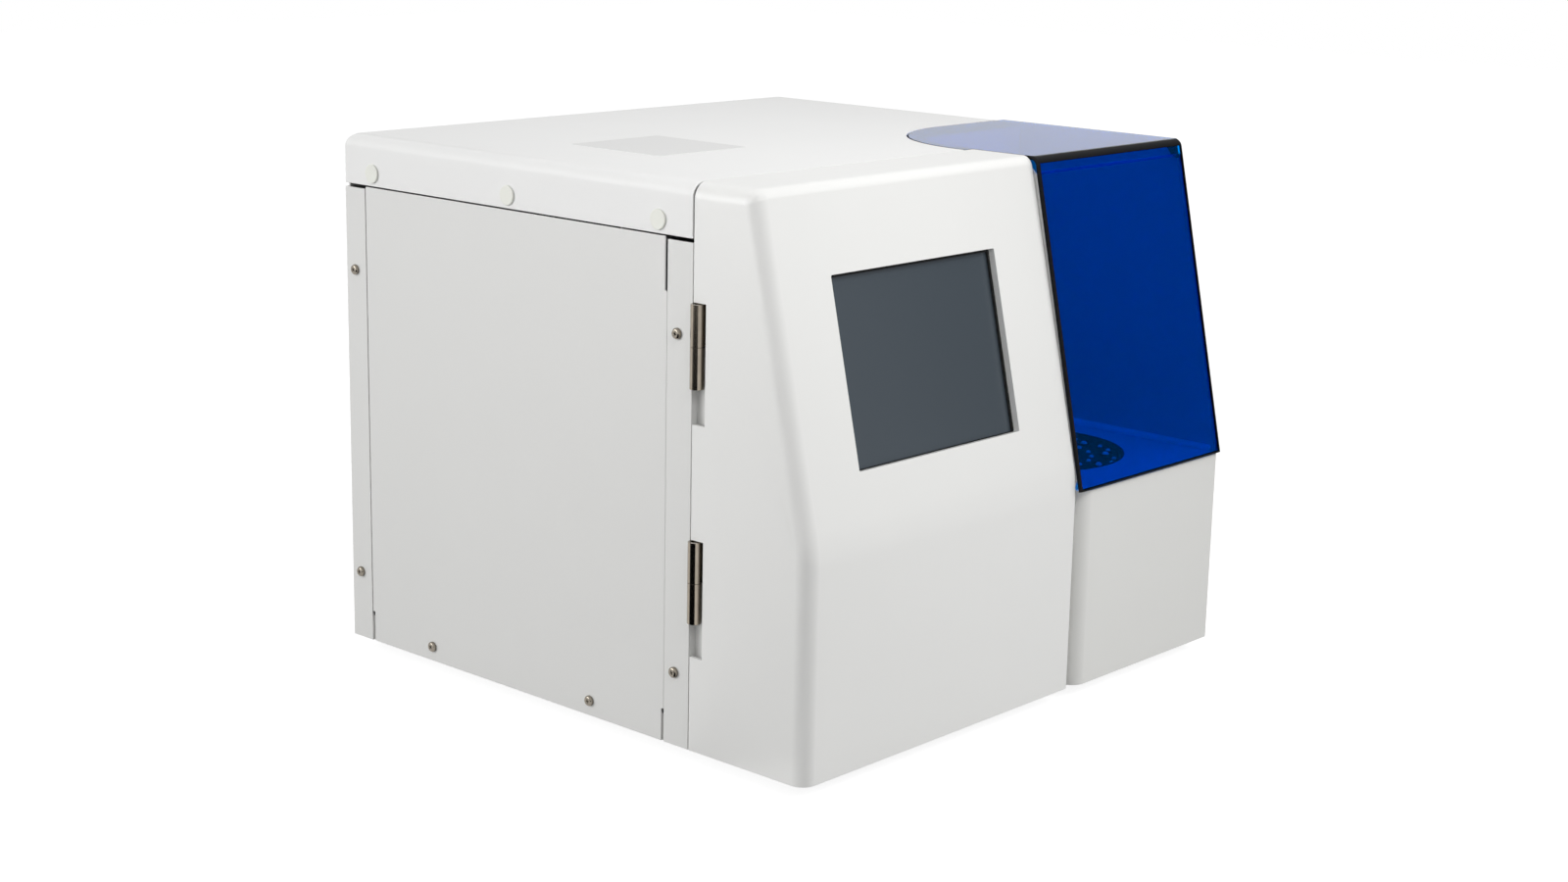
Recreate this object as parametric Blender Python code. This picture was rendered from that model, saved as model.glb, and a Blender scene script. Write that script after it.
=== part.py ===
"""Glycated hemoglobin analyzer: a bench instrument with a swinging front door,
a flip-up tinted lid over its sample bay, and the fluid and drive units inside.

Lengths are metres. Pieces are modelled in the cabinet's own frame: X to the
right, Y to the back, Z up, from the front-left-bottom corner of the cabinet.
An empty then stands the whole on the floor, centred on the world's origin.
"""

from math import asin, cos, hypot, pi, radians, sin, tan

import bmesh
import bpy
from mathutils import Matrix, Vector

# Cabinet
CABINET_WIDTH = 0.4893
CABINET_DEPTH = 0.4816
CABINET_HEIGHT = 0.400
SHEET = 0.0015
GAP = 0.0003
OVERRUN = 0.010
SAME_SHARE = 0.1
SHARP_DEG = 35.0
SEAM_DEPTH = 0.1092
SLOPE_HEIGHT = 0.2357
SLOPE_TOP_DEPTH = 0.0544

# Top cover
COVER_SKIRT_HEIGHT = 0.0386
COVER_RADIUS = 0.010
COVER_SEGMENTS = 4

# Side posts and left panel
POST_CLEARANCE = 0.0024
FRONT_POST_WIDTH = 0.0241
REAR_POST_WIDTH = 0.0231
POST_FLANGE = 0.022
TONGUE_INSET = 0.0065
TONGUE_REACH = 0.0132
SLIT_WIDTH = 0.0012
TOP_SLIT_LENGTH = 0.037
FOOT_SLIT_LENGTH = 0.024

# Side screws and caps
SCREW_HEAD_RADIUS = 0.0040
SCREW_HEAD_HEIGHT = 0.0024
SCREW_SHANK_RADIUS = 0.0019
SCREW_LENGTH = 0.008
SCREW_HOLE_RADIUS = 0.0022
SCREW_SIDES = 12
SCREW_FACE_SHARE = 0.55
SCREW_SHOULDER_SHARES = (0.85, 0.75)
SCREW_RIM_SHARE = 0.3
FRONT_SCREW_INSET = 0.0100
REAR_SCREW_INSET = 0.0125
UPPER_SCREW_DROP = 0.1045
LOWER_SCREW_HEIGHT = 0.0540
BASE_SCREW_HEIGHT = 0.0116
BASE_SCREW_INSETS = (0.0757, 0.0737)
CAP_RADIUS = 0.0072
CAP_THICKNESS = 0.0012
CAP_STEM_RADIUS = 0.0040
CAP_STEM_LENGTH = 0.005
CAP_HOLE_RADIUS = 0.0043
CAP_SIDES = 20
CAP_DROP = 0.0286
CAP_INSETS = (0.0332, 0.0328)

# Front door
DOOR_INSET = 0.1914
DOOR_WALL = 0.003
DOOR_RADIUS = 0.013
DOOR_BEND_SETBACK = 0.009
DOOR_SEGMENTS = 4
DOOR_BEND_SEGMENTS = 2
DOOR_RETURN = 0.015
WINDOW_LEFT = 0.0616
WINDOW_INSET = 0.0580
WINDOW_HEIGHT = 0.1305
WINDOW_DROP = 0.0608
COLLAR_DEPTH = 0.006
COLLAR_WALL = 0.003
GLASS_MARGIN = 0.006
GLASS_THICKNESS = 0.003
DISPLAY_MARGIN = 0.011
DISPLAY_THICKNESS = 0.028

# Door hinges
HINGE_AXIS_INSET = 0.0047
HINGE_RADIUS = 0.0046
HINGE_PIN_RADIUS = 0.0025
HINGE_BORE_RADIUS = 0.0028
HINGE_SIDES = 16
HINGE_LEAF = 0.002
HINGE_LEAF_REACH = 0.026
HINGE_LENGTH = 0.0584
HINGE_UPPER_DROP = 0.1401
HINGE_LOWER_HEIGHT = 0.0942
HINGE_NOTCH_CLEARANCE = 0.0007
HINGE_LIFT = 0.0255
PIN_INSET = 0.0006

# Base pan and feet
PAN_FLANGE = 0.020
PAN_FRONT = 0.030
PAN_APRON_INSET = 0.008
FOOT_HEIGHT = 0.010
FOOT_TOP_RADIUS = 0.014
FOOT_BOTTOM_RADIUS = 0.012
FOOT_SIDES = 20
FOOT_INSET_X = 0.045
FOOT_INSET_Y = 0.055

# Sample bay
LOWER_COVER_WIDTH = 0.1843
LOWER_COVER_HEIGHT = 0.1530
LOWER_COVER_PROUD = 0.0022
LOWER_COVER_REACH = 0.028
LOWER_COVER_WALL = 0.003
LOWER_COVER_RIGHT_RADIUS = 0.003
LOWER_COVER_RIGHT_SEGMENTS = 2
BAY_WIDTH = 0.1889
BAY_WALL_FRONT = 0.004
BAY_REAR_DEPTH = 0.2053
DECK_FRONT = 0.0015
FRAME_THICKNESS = 0.0047
FRAME_SHELF = 0.012
FRAME_LAND = 0.012
LEDGE_DROP = 0.0005

# Sample lid
LID_WIDTH = 0.1893
LID_STEP_WIDTH = 0.0080
LID_REAR_MARGIN = 0.0197
LID_CORNER_START = 0.0031
LID_CORNER_SEGMENTS = 14
LID_THICKNESS = 0.003
LID_TOP_PROUD = 0.0056
LID_FOOT_PROUD = 0.0051
LID_FOOT_CLEARANCE = 0.0017
LID_BEND_RADIUS = 0.010
LID_BEND_SEGMENTS = 6
LID_GAP = 0.0015
LID_SIDE_GAP = 0.0008
LID_STEP_CLEARANCE = 0.0007

# Lid hinge
LID_AXIS_SETBACK = 0.0350
LID_AXIS_DROP = 0.0140
ARM_INNER_RADIUS = 0.038
ARM_OUTER_RADIUS = 0.046
ARM_HUB_RADIUS = 0.0065
ARM_END_DEG = 252.0
ARM_HUB_SPREAD_DEG = 40.0
ARM_WEB_DEG = 12.0
ARM_SEGMENTS = 10
ARM_WIDTH = 0.008
ARM_INSETS = (0.0593, 0.0223)
LID_BAR_WIDTH = 0.055
LID_BAR_INSET = 0.0093
LID_BAR_DEPTH = 0.008
LID_BAR_SETBACK = 0.003
LID_BAR_DROP = 0.0045
LID_SLOT_SIDE = 0.003
LID_SLOT_AHEAD = 0.002
EAR_THICKNESS = 0.004
EAR_RADIUS = 0.007
BRACKET_REACH = 0.016
BRACKET_THICKNESS = 0.0018
LID_PIN_RADIUS = 0.003
LID_PIN_BORE = 0.0033
LID_PIN_OVERHANG = 0.002

# Carousel
CAROUSEL_INSET = 0.1063
CAROUSEL_FRONT_SHARE = 0.57
DECK_HOLE_RADIUS = 0.0750
BOWL_WALL = 0.002
BOWL_FLANGE = 0.0035
BOWL_DEPTH = 0.0753
BOWL_SIDES = 40
ROTOR_CLEARANCE = 0.0015
ROTOR_TOP_DROP = 0.0048
ROTOR_THICKNESS = 0.008
ROTOR_HUB_RADIUS = 0.013
ROTOR_HUB_LENGTH = 0.026
ROTOR_SIDES = 60
WELL_COUNT = 10
WELL_RADIUS = 0.0068
WELL_INSET = 0.0115
WELL_SIDES = 10
SHAFT_RADIUS = 0.004
SHAFT_BORE = 0.0043
SHAFT_SOCKET = 0.012
MOTOR_SIDE = 0.042
MOTOR_LENGTH = 0.038

# Sampler
TOWER_WIDTH = 0.030
TOWER_SETBACK = 0.0172
TOWER_WALL = 0.002
TOWER_DROP = 0.030
TOWER_HEAD = 0.018
TOWER_BASE = 0.004
SCREW_AXIS_SHARE = 0.46
LEAD_SCREW_RADIUS = 0.003
LEAD_SCREW_BORE = 0.0033
LEAD_SCREW_KNOB_RADIUS = 0.007
LEAD_SCREW_KNOB = 0.006
CARRIAGE_DROP = 0.070
CARRIAGE_HEIGHT = 0.030
CARRIAGE_SIDE_GAP = 0.0006
CARRIAGE_REAR_SHARE = 0.73
CARRIAGE_PROUD = 0.008
ARM_HEIGHT = 0.012
ARM_MARGIN = 0.006
NEEDLE_ANGLE_DEG = 135.0
NEEDLE_RADIUS = 0.0008
NEEDLE_BORE = 0.0011
NEEDLE_REACH = 0.075
NEEDLE_COLLAR_RADIUS = 0.003
NEEDLE_COLLAR = 0.006

# Fluid units on their panel
PANEL_LEFT = 0.012
PANEL_CLEARANCE = 0.0024
PANEL_DEPTH = 0.190
PANEL_DROP = 0.015
PANEL_FLANGE = 0.015
OVEN_LEFT = 0.030
OVEN_WIDTH = 0.070
OVEN_DEPTH = 0.055
OVEN_DROP = 0.035
OVEN_HEIGHT = 0.180
COLUMN_RADIUS = 0.0065
COLUMN_LENGTH = 0.160
COLUMN_NUT_RADIUS = 0.0045
COLUMN_NUT = 0.010
COLUMN_INSET = 0.013
VALVE_DROP = 0.045
VALVE_RADIUS = 0.020
VALVE_DEPTH = 0.038
VALVE_SHAFT_RADIUS = 0.004
VALVE_BORE_RADIUS = 0.0043
VALVE_SHAFT = 0.012
VALVE_KNOB_RADIUS = 0.012
VALVE_KNOB = 0.014
VALVE_KNOB_SIDES = 6
PUMP_INSET = 0.016
PUMP_WIDTH = 0.092
PUMP_DEPTH = 0.060
PUMP_BOTTOM = 0.050
PUMP_HEIGHT = 0.090
PUMP_HEAD_RADIUS = 0.014
PUMP_HEAD_LENGTH = 0.016
PUMP_HEAD_SHARES = (0.25, 0.75)
DETECTOR_INSET = 0.013
DETECTOR_WIDTH = 0.080
DETECTOR_DEPTH = 0.050
DETECTOR_DROP = 0.055
DETECTOR_HEIGHT = 0.120
DETECTOR_CELL_RADIUS = 0.011
DETECTOR_CELL = 0.012

# Electronics
SUPPLY_LEFT = 0.030
SUPPLY_WIDTH = 0.120
SUPPLY_REAR_INSET = 0.0216
SUPPLY_LENGTH = 0.160
SUPPLY_HEIGHT = 0.058
BOARD_INSET = 0.028
BOARD_DROP = 0.045
BOARD_HEIGHT = 0.220
BOARD_THICKNESS = 0.0016
STANDOFF_RADIUS = 0.003
STANDOFF_LENGTH = 0.008
STANDOFF_INSET = 0.012

# Fan
FAN_X = 0.230
FAN_DROP = 0.110
FAN_SIDE = 0.080
FAN_LENGTH = 0.025
FAN_BORE_RADIUS = 0.038
FAN_SIDES = 24
FAN_STRUT = 0.004
STRUT_INSET_SHARES = (0.25, 0.33)
FAN_PLATE = 0.003
FAN_PLATE_RADIUS = 0.017
FAN_HUB_RADIUS = 0.015
FAN_HUB_LENGTH = 0.018
FAN_SPINDLE_RADIUS = 0.003
FAN_SPINDLE_BORE = 0.0033
FAN_SPINDLE = 0.0025
FAN_BLADE_RADIUS = 0.0365
FAN_BLADE_THICKNESS = 0.0014
FAN_BLADE_COUNT = 7
FAN_BLADE_TILT_DEG = 38.0
BLADE_CHORD_SHARE = 0.85
BLADE_ROOT_SHARE = 0.8
VENT_SLOT_COUNT = 8
VENT_SLOT = 0.004
VENT_WIDTH = 0.066

# Power inlet, switch and fluid ports
INLET_INSET = 0.0693
INLET_Z = 0.070
INLET_WIDTH = 0.043
INLET_HEIGHT = 0.053
INLET_FLANGE = 0.004
INLET_FLANGE_THICKNESS = 0.0025
INLET_LENGTH = 0.034
RECESS_WIDTH = 0.026
RECESS_HEIGHT = 0.017
RECESS_DEPTH = 0.018
RECESS_BOTTOM = 0.004
BLADE_WIDTH = 0.002
BLADE_HEIGHT = 0.004
BLADE_PITCH = 0.007
BLADE_LENGTH = 0.014
BLADE_RISE = 0.003
ROCKER_WINDOW_WIDTH = 0.0284
ROCKER_WINDOW_HEIGHT = 0.020
ROCKER_WINDOW_BOTTOM = 0.029
ROCKER_WINDOW_DEPTH = 0.014
ROCKER_WIDTH = 0.0278
ROCKER_HALF_HEIGHT = 0.009
ROCKER_CREST = 0.005
ROCKER_SADDLE = 0.003
ROCKER_ROOT = 0.006
ROCKER_ROOT_HALF_HEIGHT = 0.004
ROCKER_PIVOT_DEPTH = 0.003
ROCKER_REST_DEG = -7.0
PORT_LEFT = 0.060
PORT_BOTTOM = 0.050
PORT_PITCH = 0.018
PORT_COUNT = 3
PORT_HEIGHT = 0.022
PORT_THICKNESS = 0.005
PORT_NIPPLE_RADIUS = 0.0035
PORT_NIPPLE = 0.009
PORT_BORE_RADIUS = 0.0015
PORT_SIDES = 12

# Places and sizes that follow from those above: the cabinet's sheets and posts
INNER_LEFT = SHEET + GAP
INNER_RIGHT = CABINET_WIDTH - SHEET - GAP
REAR_PANEL_FACE = CABINET_DEPTH - SHEET - GAP
REAR_PANEL_INSIDE = REAR_PANEL_FACE - SHEET
FLOOR_TOP = SHEET
STAND = FLOOR_TOP + GAP
COVER_UNDERSIDE = CABINET_HEIGHT - SHEET
COVER_SKIRT_BOTTOM = CABINET_HEIGHT - COVER_SKIRT_HEIGHT
POST_TOP = COVER_SKIRT_BOTTOM - POST_CLEARANCE
FRONT_POST_REAR = SEAM_DEPTH + FRONT_POST_WIDTH
REAR_POST_FRONT = CABINET_DEPTH - REAR_POST_WIDTH
TONGUE_FRONT = SEAM_DEPTH - TONGUE_REACH
FRONT_SCREW_DEPTH = FRONT_POST_REAR - FRONT_SCREW_INSET
REAR_SCREW_DEPTH = REAR_POST_FRONT + REAR_SCREW_INSET
UPPER_SCREW_HEIGHT = CABINET_HEIGHT - UPPER_SCREW_DROP
BASE_SCREW_DEPTHS = (FRONT_POST_REAR + BASE_SCREW_INSETS[0], REAR_POST_FRONT - BASE_SCREW_INSETS[1])
CAP_HEIGHT = CABINET_HEIGHT - CAP_DROP
CAP_FRONT = SEAM_DEPTH + CAP_INSETS[0]
CAP_REAR = CABINET_DEPTH - CAP_INSETS[1]
CAP_DEPTHS = {"front": CAP_FRONT, "middle": (CAP_FRONT + CAP_REAR) / 2, "rear": CAP_REAR}

# What follows for the door, its window and its hinges
SLOPE = SLOPE_TOP_DEPTH / SLOPE_HEIGHT
SLOPE_COS = 1 / hypot(1, SLOPE)
SLOPE_START = CABINET_HEIGHT - SLOPE_HEIGHT
DOOR_WIDTH = CABINET_WIDTH - DOOR_INSET
WINDOW_RIGHT = DOOR_WIDTH - WINDOW_INSET
WINDOW_TOP = CABINET_HEIGHT - WINDOW_DROP
WINDOW_BOTTOM = WINDOW_TOP - WINDOW_HEIGHT
HINGE_AXIS_DEPTH = SEAM_DEPTH - HINGE_AXIS_INSET
HINGE_NOTCH_FRONT = HINGE_AXIS_DEPTH - HINGE_RADIUS - HINGE_NOTCH_CLEARANCE
HINGE_BOTTOMS = {"upper": CABINET_HEIGHT - HINGE_UPPER_DROP, "lower": HINGE_LOWER_HEIGHT}

# What follows for the sample bay, its lid and the lid's hinge
LOWER_COVER_LEFT = CABINET_WIDTH - LOWER_COVER_WIDTH
BAY_WALL_LEFT = CABINET_WIDTH - BAY_WIDTH
WALL_RIGHT = BAY_WALL_LEFT + SHEET
BAY_LEFT = WALL_RIGHT + GAP
DECK_BOTTOM = LOWER_COVER_HEIGHT + GAP
DECK_TOP = DECK_BOTTOM + SHEET
DECK_REAR = BAY_REAR_DEPTH - GAP
FRAME_TOP = COVER_UNDERSIDE - GAP
FRAME_BOTTOM = FRAME_TOP - FRAME_THICKNESS
LID_UNDERSIDE = CABINET_HEIGHT - LID_THICKNESS
LID_LEFT = CABINET_WIDTH - LID_WIDTH
LID_REAR_LEFT = LID_LEFT - LID_STEP_WIDTH
LID_RIGHT = CABINET_WIDTH - LID_SIDE_GAP
LID_REAR = BAY_REAR_DEPTH + LID_REAR_MARGIN
LID_TOP_DEPTH = SLOPE_TOP_DEPTH - LID_TOP_PROUD
LID_FOOT_HEIGHT = LOWER_COVER_HEIGHT + LID_FOOT_CLEARANCE
LID_STEP_DEPTH = SEAM_DEPTH + LID_STEP_CLEARANCE
LID_CORNER_RADIUS = LID_REAR - LID_STEP_DEPTH - LID_CORNER_START
LID_SLOPE = (LID_TOP_DEPTH + LID_FOOT_PROUD) / (CABINET_HEIGHT - LID_FOOT_HEIGHT)
LID_SLOPE_COS = 1 / hypot(1, LID_SLOPE)
LID_AXIS_DEPTH = LID_REAR + LID_AXIS_SETBACK
LID_AXIS_HEIGHT = CABINET_HEIGHT - LID_AXIS_DROP
ARM_LEFTS = tuple(CABINET_WIDTH - inset for inset in ARM_INSETS)
LID_BAR_RIGHT = CABINET_WIDTH - LID_BAR_INSET
LID_BAR_LEFT = LID_BAR_RIGHT - LID_BAR_WIDTH
LID_BAR_REAR = LID_REAR - LID_BAR_SETBACK
LID_BAR_FRONT = LID_BAR_REAR - LID_BAR_DEPTH
LID_SLOT_LEFT = LID_BAR_LEFT - LID_SLOT_SIDE
LID_SLOT_FRONT = LID_BAR_FRONT - LID_SLOT_AHEAD

# What follows for the carousel and the sampler
CAROUSEL_X = CABINET_WIDTH - CAROUSEL_INSET
DECK_SPARE = DECK_REAR - DECK_FRONT - 2 * DECK_HOLE_RADIUS
CAROUSEL_Y = DECK_FRONT + DECK_HOLE_RADIUS + DECK_SPARE * CAROUSEL_FRONT_SHARE
BOWL_BOTTOM = DECK_BOTTOM - BOWL_DEPTH
BOWL_FLANGE_RADIUS = DECK_HOLE_RADIUS + BOWL_FLANGE
ROTOR_RADIUS = DECK_HOLE_RADIUS - ROTOR_CLEARANCE
ROTOR_TOP = DECK_TOP - ROTOR_TOP_DROP
WELL_RING_RADIUS = ROTOR_RADIUS - WELL_INSET
NEEDLE_X = CAROUSEL_X + WELL_RING_RADIUS * cos(radians(NEEDLE_ANGLE_DEG))
NEEDLE_Y = CAROUSEL_Y + WELL_RING_RADIUS * sin(radians(NEEDLE_ANGLE_DEG))
TOWER_TOP = CABINET_HEIGHT - TOWER_DROP
TOWER_FRONT = NEEDLE_Y + TOWER_SETBACK
TOWER_DEPTH = DECK_REAR - TOWER_FRONT
SCREW_AXIS_DEPTH = TOWER_FRONT + TOWER_DEPTH * SCREW_AXIS_SHARE
CARRIAGE_BOTTOM = TOWER_TOP - CARRIAGE_DROP
CARRIAGE_FRONT = TOWER_FRONT - CARRIAGE_PROUD
CARRIAGE_REAR = TOWER_FRONT + TOWER_DEPTH * CARRIAGE_REAR_SHARE
NEEDLE_TIP_HEIGHT = CARRIAGE_BOTTOM - NEEDLE_REACH

# What follows for the fluid units, the electronics and the rear
PANEL_RIGHT = BAY_WALL_LEFT - PANEL_CLEARANCE
PANEL_TOP = CABINET_HEIGHT - PANEL_DROP
MOUNT_FACE = PANEL_DEPTH - GAP
OVEN_FRONT = PANEL_DEPTH - OVEN_DEPTH
OVEN_BOTTOM = PANEL_TOP - OVEN_DROP - OVEN_HEIGHT
COLUMN_DEPTH = OVEN_FRONT + COLUMN_INSET
VALVE_X = OVEN_LEFT + OVEN_WIDTH / 2
VALVE_Z = OVEN_BOTTOM - VALVE_DROP
VALVE_FRONT = PANEL_DEPTH - VALVE_DEPTH
PUMP_LEFT = PANEL_RIGHT - PUMP_INSET - PUMP_WIDTH
PUMP_FRONT = PANEL_DEPTH - PUMP_DEPTH
DETECTOR_LEFT = PANEL_RIGHT - DETECTOR_INSET - DETECTOR_WIDTH
DETECTOR_FRONT = PANEL_DEPTH - DETECTOR_DEPTH
DETECTOR_BOTTOM = PANEL_TOP - DETECTOR_DROP - DETECTOR_HEIGHT
SUPPLY_FRONT = CABINET_DEPTH - SUPPLY_REAR_INSET - SUPPLY_LENGTH
BOARD_LEFT = PANEL_LEFT + BOARD_INSET
BOARD_WIDTH = PANEL_RIGHT - BOARD_INSET - BOARD_LEFT
BOARD_BOTTOM = PANEL_TOP - BOARD_DROP - BOARD_HEIGHT
FAN_Z = CABINET_HEIGHT - FAN_DROP
INLET_X = CABINET_WIDTH - INLET_INSET


def start_scene():
    """Clear the scene and return the empty that every piece hangs from."""
    for stale in list(bpy.data.objects):
        bpy.data.objects.remove(stale)
    datum = bpy.data.objects.new("cabinet_datum", None)
    bpy.context.scene.collection.objects.link(datum)
    return datum


def finish(name, colour, roughness, metallic=0.0):
    """Return a Principled material of a linear colour."""
    material = bpy.data.materials.new(name)
    material.use_nodes = True
    shader = material.node_tree.nodes["Principled BSDF"]
    shader.inputs["Base Color"].default_value = (*colour, 1.0)
    shader.inputs["Roughness"].default_value = roughness
    shader.inputs["Metallic"].default_value = metallic
    return material


def block(bm, low, high):
    """Add a box between two corners and return its new edges."""
    size = Vector(high) - Vector(low)
    middle = (Vector(high) + Vector(low)) / 2
    place = Matrix.Translation(middle) @ Matrix.Diagonal((*size, 1.0))
    made = bmesh.ops.create_cube(bm, size=1.0, matrix=place)
    return list({edge for vert in made["verts"] for edge in vert.link_edges})


def lift(axis, a, b, height):
    """Return the point (a, b) of the plane across an axis, at a height along it."""
    return {"X": (height, a, b), "Y": (a, height, b), "Z": (a, b, height)}[axis]


def prism(bm, outline, axis, start, end):
    """Extrude an outline along an axis, from start to end."""
    verts = [bm.verts.new(lift(axis, a, b, start)) for a, b in outline]
    face = bm.faces.new(verts)
    grown = bmesh.ops.extrude_face_region(bm, geom=[face])
    moved = [item for item in grown["geom"] if isinstance(item, bmesh.types.BMVert)]
    bmesh.ops.translate(bm, verts=moved, vec=lift(axis, 0, 0, end - start))


def arc(centre, radius, start_deg, end_deg, segments):
    """Return the points of an arc, both ends included."""
    points = []
    for step in range(segments + 1):
        angle = radians(start_deg + (end_deg - start_deg) * step / segments)
        points.append((centre[0] + radius * cos(angle), centre[1] + radius * sin(angle)))
    return points


def circle(centre, radius, sides):
    """Return the corners of a regular polygon on a circle."""
    return arc(centre, radius, 0, 360, sides)[:-1]


def turned(bm, profile, axis, centre, sides):
    """Spin a closed profile of (radius, height) points round an axis."""
    rows = []
    for radius, height in profile:
        if radius == 0:
            rows.append([bm.verts.new(lift(axis, *centre, height))])
            continue
        ring = circle(centre, radius, sides)
        rows.append([bm.verts.new(lift(axis, a, b, height)) for a, b in ring])
    for low, high in zip(rows, rows[1:]):
        for side in range(sides):
            after = (side + 1) % sides
            corners = [low[side % len(low)], low[after % len(low)]]
            corners += [high[after % len(high)], high[side % len(high)]]
            bm.faces.new(list(dict.fromkeys(corners)))
    for row in (rows[0], rows[-1]):
        if len(row) > 1:
            bm.faces.new(row)


def add_piece(name, bm, parent, material=None, origin=(0, 0, 0)):
    """Make an object of a mesh, with its origin at a point of the cabinet's frame."""
    bmesh.ops.recalc_face_normals(bm, faces=bm.faces)
    bmesh.ops.translate(bm, verts=bm.verts, vec=-Vector(origin))
    mesh = bpy.data.meshes.new(name)
    bm.to_mesh(mesh)
    bm.free()
    piece = bpy.data.objects.new(name, mesh)
    bpy.context.scene.collection.objects.link(piece)
    piece.parent = parent
    piece.location = Vector(origin) - parent.location * bool(parent.parent)
    if material:
        mesh.materials.append(material)
        mesh.shade_smooth()
        mesh.set_sharp_from_angle(angle=radians(SHARP_DEG))
    return piece


def combine(piece, bm, operation, datum):
    """Cut a hidden helper out of a piece, join it on, or keep what both share."""
    helper = add_piece(f"{piece.name}_{operation.lower()}", bm, datum)
    helper.hide_render = True
    helper.display_type = "WIRE"
    step = piece.modifiers.new(operation.title(), "BOOLEAN")
    step.operation = operation
    step.solver = "EXACT"
    step.object = helper


def cut(piece, bm, datum):
    """Cut a helper mesh out of a piece."""
    combine(piece, bm, "DIFFERENCE", datum)


def join(piece, bm, datum):
    """Join a helper mesh onto a piece."""
    combine(piece, bm, "UNION", datum)


def edges_where(bm, test):
    """Return the edges whose two ends both pass a test."""
    return [edge for edge in bm.edges if all(test(vert.co) for vert in edge.verts)]


def near(a, b):
    """Say whether two lengths agree, to a small share of the clearance."""
    return abs(a - b) < GAP * SAME_SHARE


def round_edges(bm, edges, radius, segments):
    """Round edges of a mesh."""
    bmesh.ops.bevel(
        bm,
        geom=edges,
        offset=radius,
        offset_type="OFFSET",
        segments=segments,
        profile=0.5,
        affect="EDGES",
        clamp_overlap=True,
    )


def front_line(height):
    """Return the depth of the cabinet's front face at a height."""
    return max(height - SLOPE_START, 0) * SLOPE


def lid_line(height):
    """Return the depth of the lid's outer face at a height."""
    return LID_TOP_DEPTH - (CABINET_HEIGHT - height) * LID_SLOPE


def lid_clear_line(height):
    """Return the depth just behind the lid's front plate at a height."""
    return lid_line(height) + LID_THICKNESS / LID_SLOPE_COS + LEDGE_DROP


def edge_under_lid(low):
    """Return a wall's front edge behind the lid, from a height up to the top plate."""
    brow = LID_UNDERSIDE - LEDGE_DROP
    turn = brow - LID_BEND_RADIUS
    top = (lid_clear_line(brow) + LID_BEND_RADIUS, brow)
    return [(lid_clear_line(low), low), (lid_clear_line(turn), turn), top]


def lid_plan(offset, front, right):
    """Return the lid's outline from above, grown by an offset.

    The rear-left corner is one large round. The left edge steps to the right
    in front of the seam, where it runs beside the door.
    """
    left = LID_REAR_LEFT - offset
    rear = LID_REAR + offset
    radius = LID_CORNER_RADIUS + offset
    centre = (left + radius, rear - radius)
    corner = arc(centre, radius, 90, 180, LID_CORNER_SEGMENTS)
    step = LID_STEP_DEPTH - max(offset, 0)
    near_left = LID_LEFT - min(offset, 0)
    if step > front:
        ahead = [(left, step), (near_left, step), (near_left, front)]
    else:
        ahead = [(left, front)]
    return [(right, front), (right, rear), *corner, *ahead]


def slanted(bm):
    """Turn a mesh from (x, depth, height) at the window's middle onto the slope."""
    height = (WINDOW_BOTTOM + WINDOW_TOP) / 2
    middle = ((WINDOW_LEFT + WINDOW_RIGHT) / 2, front_line(height), height)
    tilt = Matrix(
        (
            (1, 0, 0, 0),
            (0, SLOPE_COS, SLOPE * SLOPE_COS, 0),
            (0, -SLOPE * SLOPE_COS, SLOPE_COS, 0),
            (0, 0, 0, 1),
        )
    )
    bm.transform(Matrix.Translation(middle) @ tilt)


def window_block(margin, start, end):
    """Return a slanted box round the window, from one depth to another."""
    half_width = (WINDOW_RIGHT - WINDOW_LEFT) / 2 + margin
    half_height = (WINDOW_TOP - WINDOW_BOTTOM) / SLOPE_COS / 2 + margin
    bm = bmesh.new()
    block(bm, (-half_width, start, -half_height), (half_width, end, half_height))
    slanted(bm)
    return bm


def base_pan(datum, paint):
    """Make the floor sheet with its upturned flanges."""
    bm = bmesh.new()
    rear = REAR_PANEL_INSIDE - GAP
    front = SEAM_DEPTH + SHEET + 2 * GAP + SHEET
    block(bm, (INNER_LEFT, front, 0), (INNER_RIGHT, rear, PAN_FLANGE))
    pan = add_piece("base_pan", bm, datum, paint)
    bm = bmesh.new()
    block(
        bm,
        (INNER_LEFT + SHEET, front - OVERRUN, FLOOR_TOP),
        (INNER_RIGHT - SHEET, rear - SHEET, PAN_FLANGE + OVERRUN),
    )
    cut(pan, bm, datum)
    bm = bmesh.new()
    block(
        bm,
        (PAN_APRON_INSET, PAN_FRONT, 0),
        (CABINET_WIDTH - PAN_APRON_INSET, front + OVERRUN, FLOOR_TOP),
    )
    join(pan, bm, datum)
    bm = bmesh.new()
    for depth in BASE_SCREW_DEPTHS:
        ring = circle((depth, BASE_SCREW_HEIGHT), SCREW_HOLE_RADIUS, SCREW_SIDES)
        prism(bm, ring, "X", INNER_LEFT - OVERRUN, INNER_LEFT + OVERRUN)
    cut(pan, bm, datum)


def feet(datum, rubber):
    """Make the four rubber feet under the pan."""
    profile = [(0, -FOOT_HEIGHT), (FOOT_BOTTOM_RADIUS, -FOOT_HEIGHT)]
    profile += [(FOOT_TOP_RADIUS, -GAP), (0, -GAP)]
    for side, x in (("left", FOOT_INSET_X), ("right", CABINET_WIDTH - FOOT_INSET_X)):
        for end, y in (("front", FOOT_INSET_Y), ("rear", CABINET_DEPTH - FOOT_INSET_Y)):
            bm = bmesh.new()
            turned(bm, profile, "Z", (x, y), FOOT_SIDES)
            add_piece(f"foot_{end}_{side}", bm, datum, rubber, (x, y, 0))


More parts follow.
